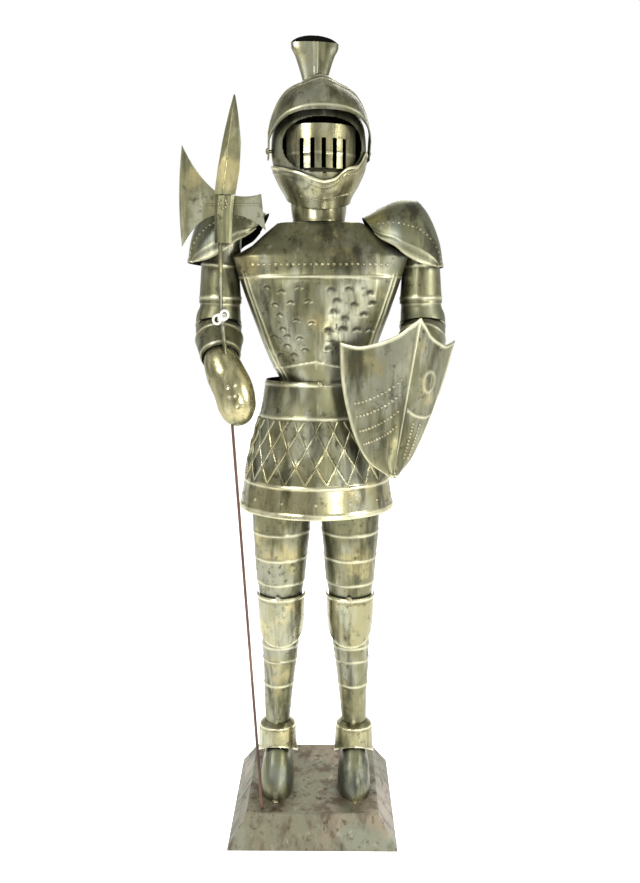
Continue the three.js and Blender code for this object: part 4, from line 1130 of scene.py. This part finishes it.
# ---------------------------------------------------------------- arms
@dataclass
class Arm:
    """One arm: upper tube, elbow sleeve, gauntlet cuff, mitten and pauldron.

    Args:
        side: Which arm.
        upper: Rows of (distance from the trunk's middle, y, z, radius across, radius along).
        elbow: The same for the elbow sleeve.
        cuff: The same for the gauntlet's cuff.
        mitten: The same for the hand.
        pauldron: Rows of (crest x, crest z, rim x, rim z, half depth).
    """

    side: Side
    upper: Rows = ((210, 0, 1388, 36, 36), (219, 0, 1340, 41, 40), (225, 0, 1290, 43, 43),
                   (226, 0, 1222, 47.5, 47))
    elbow: Rows = ((225.5, 0, 1232, 42, 42), (227.5, 0.5, 1206, 46.5, 46.5), (231, 2, 1182, 51, 50),
                   (230.5, -7, 1161, 51, 48), (228, -26, 1148, 48, 46), (224, -47, 1133, 45, 44))
    cuff: Rows = ((226, -34, 1143, 53, 49), (222, -58, 1124, 48, 45), (217, -84, 1103, 41.5, 40))
    mitten: Rows = ((218.5, -76, 1109, 36.5, 34), (213, -95, 1093, 39, 33), (203, -103, 1068, 42.5, 37),
                    (188, -109, 1036, 43.5, 37), (181, -112, 1003, 42, 34), (180, -112, 976, 32, 25),
                    (180, -112, 963, 19, 14), (180, -112, 957, 1.5, 1.5))
    pauldron: Rows = ((92, 1409, 119, 1370, 56), (118, 1424, 134, 1355, 72), (148, 1441, 158, 1342, 84),
                      (180, 1450, 182, 1322, 92), (205, 1449, 204, 1310, 93), (226, 1432, 222, 1303, 90),
                      (248, 1396, 238, 1300, 85), (265, 1347, 248, 1299, 80), (272, 1300, 252, 1298.5, 74))
    middle: float = 17

    def placed(self, rows: Rows) -> Rows:
        """Set a table beside the trunk."""
        return [(self.middle + self.side.value * x, *rest) for x, *rest in rows]

    def tube(self, rows: Rows, count: int, beads: Sequence[float] = ()) -> Plate:
        """A bent tube with beads at shares of its length, painted darker at its start as shade."""
        grid = bent_grid(self.placed(rows), count, 104)
        share = np.linspace(0, 1, count)[:, None]
        rise = sum((hump((share - bead) * count, 1.6) for bead in beads), np.zeros_like(share))
        # Painted shade where the tube runs under the piece above.
        return Plate(grid, wrap=True, relief=1.6 * rise, worn=0.9 * rise,
                     stain_and_shade=0.5 * hump(share * count, 2.0))

    def shoulder(self) -> Plate:
        """The pauldron's open bell with a rolled rim.

        Returns:
            The sheet.
        """
        share = np.linspace(0, 1, 84)
        keyed = np.column_stack([np.linspace(0, 1, len(self.pauldron)), np.asarray(self.pauldron)])
        crest_x, crest_z, rim_x, rim_z, depth = (smooth_at(keyed, share, c)[:, None] for c in range(1, 6))
        turn = np.linspace(-math.pi / 2, math.pi / 2, 96)[None, :]
        fall = 1 - np.cos(turn)
        out, up = (22, 10) if self.side is Side.LEFT else (0, 0)
        grid = np.stack(np.broadcast_arrays(
            self.middle + self.side.value * (crest_x + (rim_x - crest_x) * fall + out),
            self.side.value * depth * np.sin(turn), crest_z + (rim_z - crest_z) * fall + up), -1)
        from_edge = np.minimum(np.pi / 2 - np.abs(turn), 9) * 90 + 0 * share[:, None]
        rim = np.maximum(hump(from_edge - 3, 3.0), hump((1 - share[:, None]) * 200 - 2, 3.0))
        band = np.maximum(hump(from_edge - 17, 2.0), 0)
        return Plate(grid, relief=2.0 * rim + 0.9 * band, worn=np.maximum(rim, 0.5 * band))

    def build(self, finishes: Finishes, fittings: Fittings) -> None:
        """Make the arm's plates and dress them.

        Args:
            finishes: The suit's finishes.
            fittings: Maker of small repeated things.
        """
        word = self.side.word
        hand = self.tube(self.mitten, 90)
        knuckles = spots(hand.grid, [(self.middle + self.side.value * x, z) for x, z in
                                     ((178, 1046), (196, 1046), (178, 1026), (192, 1022), (174, 1004))], 3.4)
        hand = Plate(hand.grid, wrap=True, relief=-1.6 * knuckles, worn=0.5 * knuckles)
        plates = {
            "upper_arm": (self.tube(self.upper, 80, (0.5, 0.93)), finishes.plate, Slot.PLATE),
            "elbow": (self.tube(self.elbow, 56, (0.08, 0.5, 0.95)), finishes.dark, Slot.DARK),
            "gauntlet_cuff": (self.tube(self.cuff, 34, (0.06, 0.85)), finishes.plate, Slot.PLATE),
            "hand": (hand, finishes.brassy, Slot.BRASSY),
            "pauldron": (self.shoulder(), finishes.dark, Slot.DARK)}
        for kind, (plate, material, slot) in plates.items():
            finish_piece(plate.mesh(f"{kind}_{word}_plate"), material, [f"{kind}_{word}"])
        shoulder = plates["pauldron"][0]
        row = [shoulder.along(share, np.array([0.17 if self.side is Side.RIGHT else 0.83]))
               for share in np.linspace(0.12, 0.94, 18)]
        fittings.stud_row(f"pauldron_dots_{word}", joined(row), 2.5, 0.8, fittings.finishes.solder)
        LOG.info("arm %s", word)


# ---------------------------------------------------------------- shield and halberd
@dataclass
class Shield:
    """The folded, pointed shield with a raised rim and dotted rows."""

    x: float = 213
    y: float = -186
    top: float = 1141
    tip: float = 859
    half: float = 162
    fold: float = math.radians(33)
    turn: float = math.radians(20)
    lean: float = 45
    crown: Rows = ((0, 50), (0.12, 36), (0.3, 14), (0.5, 1), (0.75, -8), (1, 0))
    flank: Rows = ((0, 1), (0.27, 0.9), (0.5, 0.76), (0.72, 0.58), (0.88, 0.38), (1, 0.04))

    def point(self, across: np.ndarray, down: np.ndarray) -> np.ndarray:
        """Points of the shield's face."""
        width = smooth_at(self.flank, down) * self.half * np.abs(across)
        z = (self.top + smooth_at(self.crown, np.abs(across))) * (1 - down) + self.tip * down
        flat = width * math.cos(self.fold) * np.sign(across)
        deep = width * math.sin(self.fold) - 10 * np.sin(math.pi * np.abs(across))
        slant = self.lean * (self.top + 45 - z) / (self.top - self.tip)
        return np.stack(np.broadcast_arrays(
            self.x + 10 - slant + flat * math.cos(self.turn) - deep * math.sin(self.turn),
            self.y + flat * math.sin(self.turn) + deep * math.cos(self.turn), z), -1)

    def build(self, finishes: Finishes, fittings: Fittings) -> None:
        """Make the shield and lay its dotted rows.

        Args:
            finishes: The suit's finishes.
            fittings: Maker of small repeated things.
        """
        across = np.linspace(-1, 1, 170)[None, :]
        down = np.linspace(0, 1, 170)[:, None]
        grid = self.point(across, down)
        width = smooth_at(self.flank, down) * self.half
        edge = np.minimum((1 - np.abs(across)) * width, np.minimum(down, 1 - down) * 280)
        rim = hump(edge - 4, 3.2)
        boss = hump(np.hypot((across - 0.5) * 130, (down - 0.3) * 270) - 20, 4.0)
        strap = hump((down - 0.56) * 280, 3.0) * (across > 0.06) + 0 * across
        fold = hump(across * 150, 3.0) + 0 * down
        rim = np.maximum(rim, np.maximum(0.8 * strap, 0.7 * fold))
        plate = Plate(grid, wall=2.0, relief=2.2 * rim + 1.4 * boss, worn=np.maximum(rim, 0.5 * boss),
                      outward=(0, -1, 0))
        finish_piece(plate.mesh("shield_plate"), finishes.plate, ["shield"])
        rows = []
        for level in (0.35, 0.45, 0.56, 0.66):
            rows += [self.place(plate, share, level - 0.13 * (share + 0.16))
                     for share in np.linspace(-0.84, -0.14, 13)]
        for column in (0.33, 0.58):
            rows += [self.place(plate, column, level) for level in np.linspace(0.62, 0.86, 11)]
        fittings.stud_row("shield_dots", joined(rows), 3.4, 0.8, finishes.solder)
        LOG.info("shield")

    @staticmethod
    def place(plate: Plate, across: float, down: float) -> tuple[np.ndarray, np.ndarray]:
        """Point of the plate at shares of its width and height."""
        return plate.along(down, np.array([(across + 1) / 2]))


@dataclass
class Halberd:
    """Detail of the halberd: domed blade boss, rod, and the bow that ties it."""

    boss: Vector = (-184, -122, 1424)
    knot: Vector = (-193, -118, 1192)

    def bow(self) -> list[np.ndarray]:
        """Loops, ends and turns of the cord."""
        x, y, z = self.knot
        t = np.linspace(0, 2 * math.pi, 40)
        lines = []
        for way in (-1, 1):
            loop = np.stack([x + way * 16 * (1 - np.cos(t)) / 2, y - 6 + 2 * np.sin(t), z + way * 5
                             + 9 * np.sin(t)], -1)
            lines.append(loop)
        for k in range(4):
            turn = np.stack([x + 6.6 * np.cos(t), y + 6 + 6.6 * np.sin(t), np.full_like(t, z - 6 + 4 * k)],
                            -1)
            lines.append(turn)
        return lines

    def build(self, finishes: Finishes, fittings: Fittings) -> None:
        """Dress the halberd.

        Args:
            finishes: The suit's finishes.
            fittings: Maker of small repeated things.
        """
        tied = fittings.wire("tie_bow", self.bow(), 2.7, finishes.cord)
        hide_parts("tie")
        angles = np.linspace(0, 2 * math.pi, 8, endpoint=False)
        ring = np.array([(self.boss[0] + 9 * math.cos(a), self.boss[1] - 6, self.boss[2] + 9 * math.sin(a))
                         for a in angles])
        facing = np.tile((0.0, -1.0, 0.0), (8, 1))
        fittings.stud_row("blade_boss_dots", (ring, facing), 2.2, 0.7)
        ribs = [np.array(((-160, -120.6, 1424), (-108, -120.6, 1424))),
                np.array(((-203, -120.6, 1424), (-226, -120.6, 1424))),
                np.array(((-184, -129, 1445), (-177, -129, 1490), (-170, -129, 1545), (-160, -125.8, 1612)))]
        fittings.wire("halberd_ribs", [rib.astype(float) for rib in ribs], 1.8, finishes.plate)
        LOG.info("halberd")


# ---------------------------------------------------------------- helmet
@dataclass
class Helmet:
    """Skull, bevor, grille, visor, collar and plume, all turned a little to one side."""

    x: float = 13
    turn: float = math.radians(8)
    bevor: Rows = ((1421, 66, 68), (1446, 71, 73), (1480, 89.5, 91.5), (1515, 103.5, 100), (1550, 108, 102))
    bevor_top: Rows = ((-97, 1520), (-60, 1508), (-38, 1497), (-20, 1486), (0, 1477), (14, 1482),
                       (30, 1504), (48, 1513), (68, 1546), (84, 1539), (97, 1536))
    arch: Rows = ((0, 146, 16), (0.17, 145, 10), (0.38, 141, 1), (0.63, 127, 0), (0.8, 105, 0),
                  (0.9, 82, 0), (0.96, 62, 0), (1, 40, 0))
    plume: Rows = ((1684.4, 24, 9), (1702, 27, 10), (1726, 34, 12), (1752, 43, 14), (1770, 51.5, 15),
                   (1778, 52, 15))
    collar: Rows = ((1396.4, 0, 56, 66, 50), (1425, 0, 61, 62.5, 57), (1462, 0, 62.5, 61.5, 64))

    skull: Rows = ((1446, 0, 67, 66, 70), (1480, 0, 86, 83, 88), (1515, 0, 99, 93, 100),
                   (1550, 0, 104, 97, 108), (1590, 0, 101, 96, 110), (1625, 0, 88, 80, 100),
                   (1650, 0, 69, 60, 82), (1670, 0, 42, 38, 56), (1680, 0, 20, 18, 28), (1683.5, 0, 1, 1, 1))

    def bowl(self) -> Plate:
        """The skull, with the face opening left out of its front.

        Returns:
            The sheet.
        """
        share = np.linspace(0, 1, 130)
        z = 1446 + 237.5 * (1 - (1 - share) ** 1.7)
        grid = ring_grid(self.skull, z, 260)
        x, up = grid[..., 0] / 86, (grid[..., 2] - 1553)
        inside = (np.abs(x) ** 2.3 + np.abs(up / np.where(up > 0, 52, 62)) ** 2.3 < 1) & (grid[..., 1] < 0)
        crest = hump(grid[..., 0], 3.0) * (grid[..., 2] > 1600)
        return Plate(self.turned(grid), wrap=True, relief=1.5 * crest, worn=0.6 * crest, keep=~inside[:-1])

    def turned(self, grid: np.ndarray) -> np.ndarray:
        """Turn and set a grid where the helmet is."""
        cosine, sine = math.cos(self.turn), math.sin(self.turn)
        x, y = grid[..., 0], grid[..., 1]
        return np.stack([self.x + x * cosine - y * sine, x * sine + y * cosine, grid[..., 2]], -1)

    def chin(self) -> Plate:
        """The bevor.

        Returns:
            The sheet.
        """
        degrees = np.linspace(-97, 97, 150)[None, :]
        turn = np.radians(degrees)
        low = 1421 + 24 * (1 - np.cos(turn))
        level = np.linspace(0, 1, 56)[:, None]
        high = smooth_at(self.bevor_top, degrees)
        z = low + (high - low) * level
        grid = np.stack(np.broadcast_arrays(smooth_at(self.bevor, z, 1) * np.sin(turn),
                                            -smooth_at(self.bevor, z, 2) * np.cos(turn), z), -1)
        edge = (high - z)
        band = hump(edge - 4, 3.0)
        return Plate(self.turned(grid), relief=1.8 * band + 0.8 * hump(edge - 15, 1.8), worn=band,
                     outward=(0, -1, 0))

    def face(self) -> Plate:
        """The slotted grille, with dense columns so the slots have clean edges.

        Returns:
            The sheet.
        """
        pitch, half, reach = 15.6, 3.1, 58.0
        marks = [-reach]
        for slot in range(5):
            middle = (slot - 2) * pitch
            marks += [middle - half, middle + half]
        marks.append(reach)
        degrees = np.concatenate([np.linspace(a, b, 9)[:-1] for a, b in zip(marks[:-1], marks[1:])]
                                 + [[reach]])
        z = np.concatenate([np.linspace(1468, 1503, 14)[:-1], np.linspace(1503, 1564, 24)[:-1],
                            np.linspace(1564, 1593, 10)])[:, None]
        turn = np.radians(degrees)[None, :]
        swell = np.where(z < 1503, smooth_at(((1468, 0.72), (1484, 0.86), (1503, 0.97)), z), 1.0)
        drop = 26 * (1 - np.cos(1.2 * turn)) * np.clip((1490 - z) / 22, 0, 1)
        grid = np.stack(np.broadcast_arrays(88 * swell * np.sin(turn), 4 - 88 * swell * np.cos(turn), z
                                            + drop), -1)
        keep = np.ones((grid.shape[0] - 1, grid.shape[1] - 1), dtype=bool)
        for slot in range(5):
            start = 8 + 16 * slot
            keep[13:36, start:start + 8] = False
        crease = hump(grid[..., 2] - 1534, 2.0)
        # Painted shade: the grille darkens towards both side ends, where it passes under the skull's rim.
        return Plate(self.turned(grid), relief=1.2 * crease, worn=0.5 * crease,
                     stain_and_shade=0.35 * hump(np.abs(turn) - 1.0, 0.16) + 0 * z, keep=keep, outward=(0, -1, 0))

    def visor(self) -> Plate:
        """The raised visor with pressed lines along its rim.

        Returns:
            The sheet.
        """
        degrees = np.linspace(33, 80, 64)[:, None]
        share = np.linspace(-1, 1, 150)[None, :]
        share = np.sign(share) * np.abs(share) ** 0.8
        grow = smooth_at(((33, 0.86), (52, 0.91), (80, 1)), degrees)
        peak = smooth_at(((42, 0), (62, 0.5), (80, 1)), degrees)
        radius = smooth_at(self.arch, np.abs(share), 1) * grow + smooth_at(self.arch, np.abs(share), 2) * peak
        angle = np.radians(degrees)
        grid = np.stack(np.broadcast_arrays(share * 111, -radius * np.cos(angle), 1548
                                            + radius * np.sin(angle)), -1)
        level = np.linspace(1, -1, 64)
        down = np.linspace(0, 1, 13)[1:]
        ears = []
        for column, sign in ((grid[:, :1], -1), (grid[:, -1:], 1)):
            lobe = np.stack([np.full(64, sign * 111.0), -13 * level, np.full(64, 1531.0)], -1)[:, None]
            ears.append(column + (lobe - column) * down[None, :, None])
        grid = np.concatenate([ears[0][:, ::-1], grid, ears[1]], axis=1)
        share = np.zeros((1, grid.shape[1]))
        lines = hump(degrees - 75, 1.1) + hump(degrees - 69, 1.1) + hump(degrees - 38, 1.3)
        lines = lines * np.ones_like(share)
        return Plate(self.turned(grid), relief=1.4 * lines, worn=0.8 * lines, outward=None)

    def feather(self, facing: int) -> Plate:
        """One sheet of the flared plume."""
        z = np.linspace(1684.4, 1778, 60)[:, None]
        turn = np.linspace(-math.pi / 2, math.pi / 2, 60)[None, :]
        half, depth = smooth_at(self.plume, z, 1), smooth_at(self.plume, z, 2)
        crest = 22 * np.cos(turn) ** 1.2 * np.clip((z - 1770) / 8, 0, 1) if facing < 0 else 0 * turn
        grid = np.stack(np.broadcast_arrays(-6 + facing * half * np.sin(turn),
                                            18 - facing * (1.4 + depth * np.cos(turn)), z + crest), -1)
        crease = (hump(np.sin(turn) - 0.06, 0.035) + hump(np.sin(turn) + 0.06, 0.035)) * np.ones_like(z)
        return Plate(self.turned(grid), relief=1.3 * crease, worn=0.5 * crease, outward=(0, -facing, 0))

    def neck(self) -> Plate:
        """The collar.

        Returns:
            The sheet.
        """
        z = np.linspace(1396.4, 1462, 36)
        grid = ring_grid(self.collar, z, 110)
        rim = bead_rise(z, (1401,))
        # A darker ring along the bead near the collar's foot.
        return Plate(self.turned(grid), wrap=True, relief=0.3 * rim, stain_and_shade=0.3 * rim)

    def build(self, finishes: Finishes, fittings: Fittings) -> None:
        """Make the helmet's plates and dress them.

        Args:
            finishes: The suit's finishes.
            fittings: Maker of small repeated things.
        """
        chin, visor = self.chin(), self.visor()
        finish_piece(self.bowl().mesh("skull_plate"), finishes.plate, ["helmet_skull"])
        finish_piece(chin.mesh("bevor_plate"), finishes.brassy, ["helmet_bevor"])
        finish_piece(self.face().mesh("grille_plate"), finishes.brassy, ["helmet_grille"])
        finish_piece(visor.mesh("visor_plate"), finishes.plate, body="visor")
        finish_piece(self.neck().mesh("collar_plate"), finishes.brassy, ["collar"])
        finish_piece(self.feather(1).mesh("plume_front_plate"), finishes.plate, ["plume_front"])
        finish_piece(self.feather(-1).mesh("plume_back_plate"), finishes.dark, ["plume_back"])
        dashes = joined([chin.along(0.3, np.linspace(0.3, 0.78, 24)),
                         chin.along(0.8, np.linspace(0.52, 0.74, 12))])
        fittings.stud_row("bevor_dots", dashes, 2.7, 1.0, finishes.solder)
        LOG.info("helmet")


# ---------------------------------------------------------------- studio
def studio() -> None:
    """Pale floor, soft lights and the camera."""
    bpy.ops.mesh.primitive_plane_add(size=14, location=(0, 3.0, -0.0005))
    floor = bpy.context.active_object
    floor.name = "floor"
    material = bpy.data.materials.new("floor_paper")
    material.use_nodes = True
    paper = material.node_tree.nodes["Principled BSDF"]
    paper.inputs["Base Color"].default_value = (0.92, 0.92, 0.92, 1)
    paper.inputs["Roughness"].default_value = 0.9
    paper.inputs["Emission Color"].default_value = (1, 1, 1, 1)
    paper.inputs["Emission Strength"].default_value = 0.8
    floor.data.materials.append(material)
    world = bpy.data.worlds.new("studio")
    world.use_nodes = True
    world.node_tree.nodes.clear()
    sky = Nodes(world.node_tree)
    seen = sky.add("ShaderNodeLightPath").outputs["Is Camera Ray"]
    around = sky.add("ShaderNodeTexCoord").outputs["Generated"]
    bands = sky.noise(sky.add("ShaderNodeMapping", {"Vector": around, "Scale": (2.2, 2.2, 0.8)}).outputs[0],
                      1.3, 2.0)
    room = sky.mix(sky.band(bands, 0.42, 0.6), (0.16, 0.16, 0.15, 1), (1.25, 1.25, 1.2, 1))
    colour = sky.mix(seen, room, (1, 1, 1, 1))
    back = sky.add("ShaderNodeBackground", {"Color": colour, "Strength": 1.0})
    sky.add("ShaderNodeOutputWorld", {0: back.outputs[0]})
    bpy.context.scene.world = world
    bpy.context.scene.view_settings.view_transform = "Standard"
    for name, place, size, energy in (("key", (-1.6, -2.4, 2.6), 0.9, 60),
                                      ("fill", (2.2, -1.6, 1.6), 0.7, 32),
                                      ("strip", (0.9, -2.2, 0.9), 0.3, 14), ("rear", (0.3, 2.2, 2.8), 1.4,
                                                                             40)):
        lamp = bpy.data.lights.new(name, "AREA")
        lamp.size, lamp.energy = size, energy
        holder = bpy.data.objects.new(name, lamp)
        bpy.context.scene.collection.objects.link(holder)
        holder.location = place
        aim = np.array((0, 0, 0.95)) - np.array(place)
        yaw = math.atan2(aim[0], -aim[1])
        tilt = math.atan2(math.hypot(aim[0], aim[1]), -aim[2])
        holder.rotation_euler = (tilt, 0, yaw + math.pi)
    lens = bpy.data.cameras.new("camera")
    lens.sensor_width, lens.lens = 36.0, 33.64
    camera = bpy.data.objects.new("camera", lens)
    bpy.context.scene.collection.objects.link(camera)
    middle = SHIFT * MM
    camera.location = (middle[0] + 0.034, middle[1] - 1.888, 1.206)
    camera.rotation_euler = (math.radians(90 - 9.02), 0, math.radians(0.55))
    bpy.context.scene.camera = camera


def dress_frame(finishes: Finishes) -> None:
    """Give every CAD node that stays its finish.

    Args:
        finishes: The suit's finishes.
    """
    looks = {"plinth": finishes.plinth, "halberd_lower": finishes.rust, "halberd": finishes.plate,
             "helmet": finishes.plate, "hip": finishes.dark, "shoulder": finishes.plate,
             "pivot": finishes.brassy, "shield_bracket": finishes.dark, "visor": finishes.plate}
    for name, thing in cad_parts.items():
        material = next((look for start, look in looks.items() if name.startswith(start)), finishes.plate)
        thing.data.materials.clear()
        thing.data.materials.append(material)


def hide_visor_node() -> None:
    """The fine visor stands for the plain one."""
    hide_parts("visor")


def main() -> None:
    """Build the suit, piece by piece."""
    logging.basicConfig(level=logging.INFO, format="%(message)s")
    finishes = Finishes()
    fittings = Fittings(finishes)
    studio()
    dress_frame(finishes)
    toes = np.array([(LEG_MID + side.value * 93, -109.0, 69.0) for side in Side])
    fittings.solder("toe_solder", (toes, np.tile((0.0, 0.0, 1.0), (2, 1))), 8.0)
    for side in Side:
        Leg(side).build(finishes, fittings)
        Arm(side).build(finishes, fittings)
    for part in (Skirt(), Trunk(), Shield(), Halberd(), Helmet()):
        part.build(finishes, fittings)
    hide_visor_node()


if __name__ == "__main__":
    main()
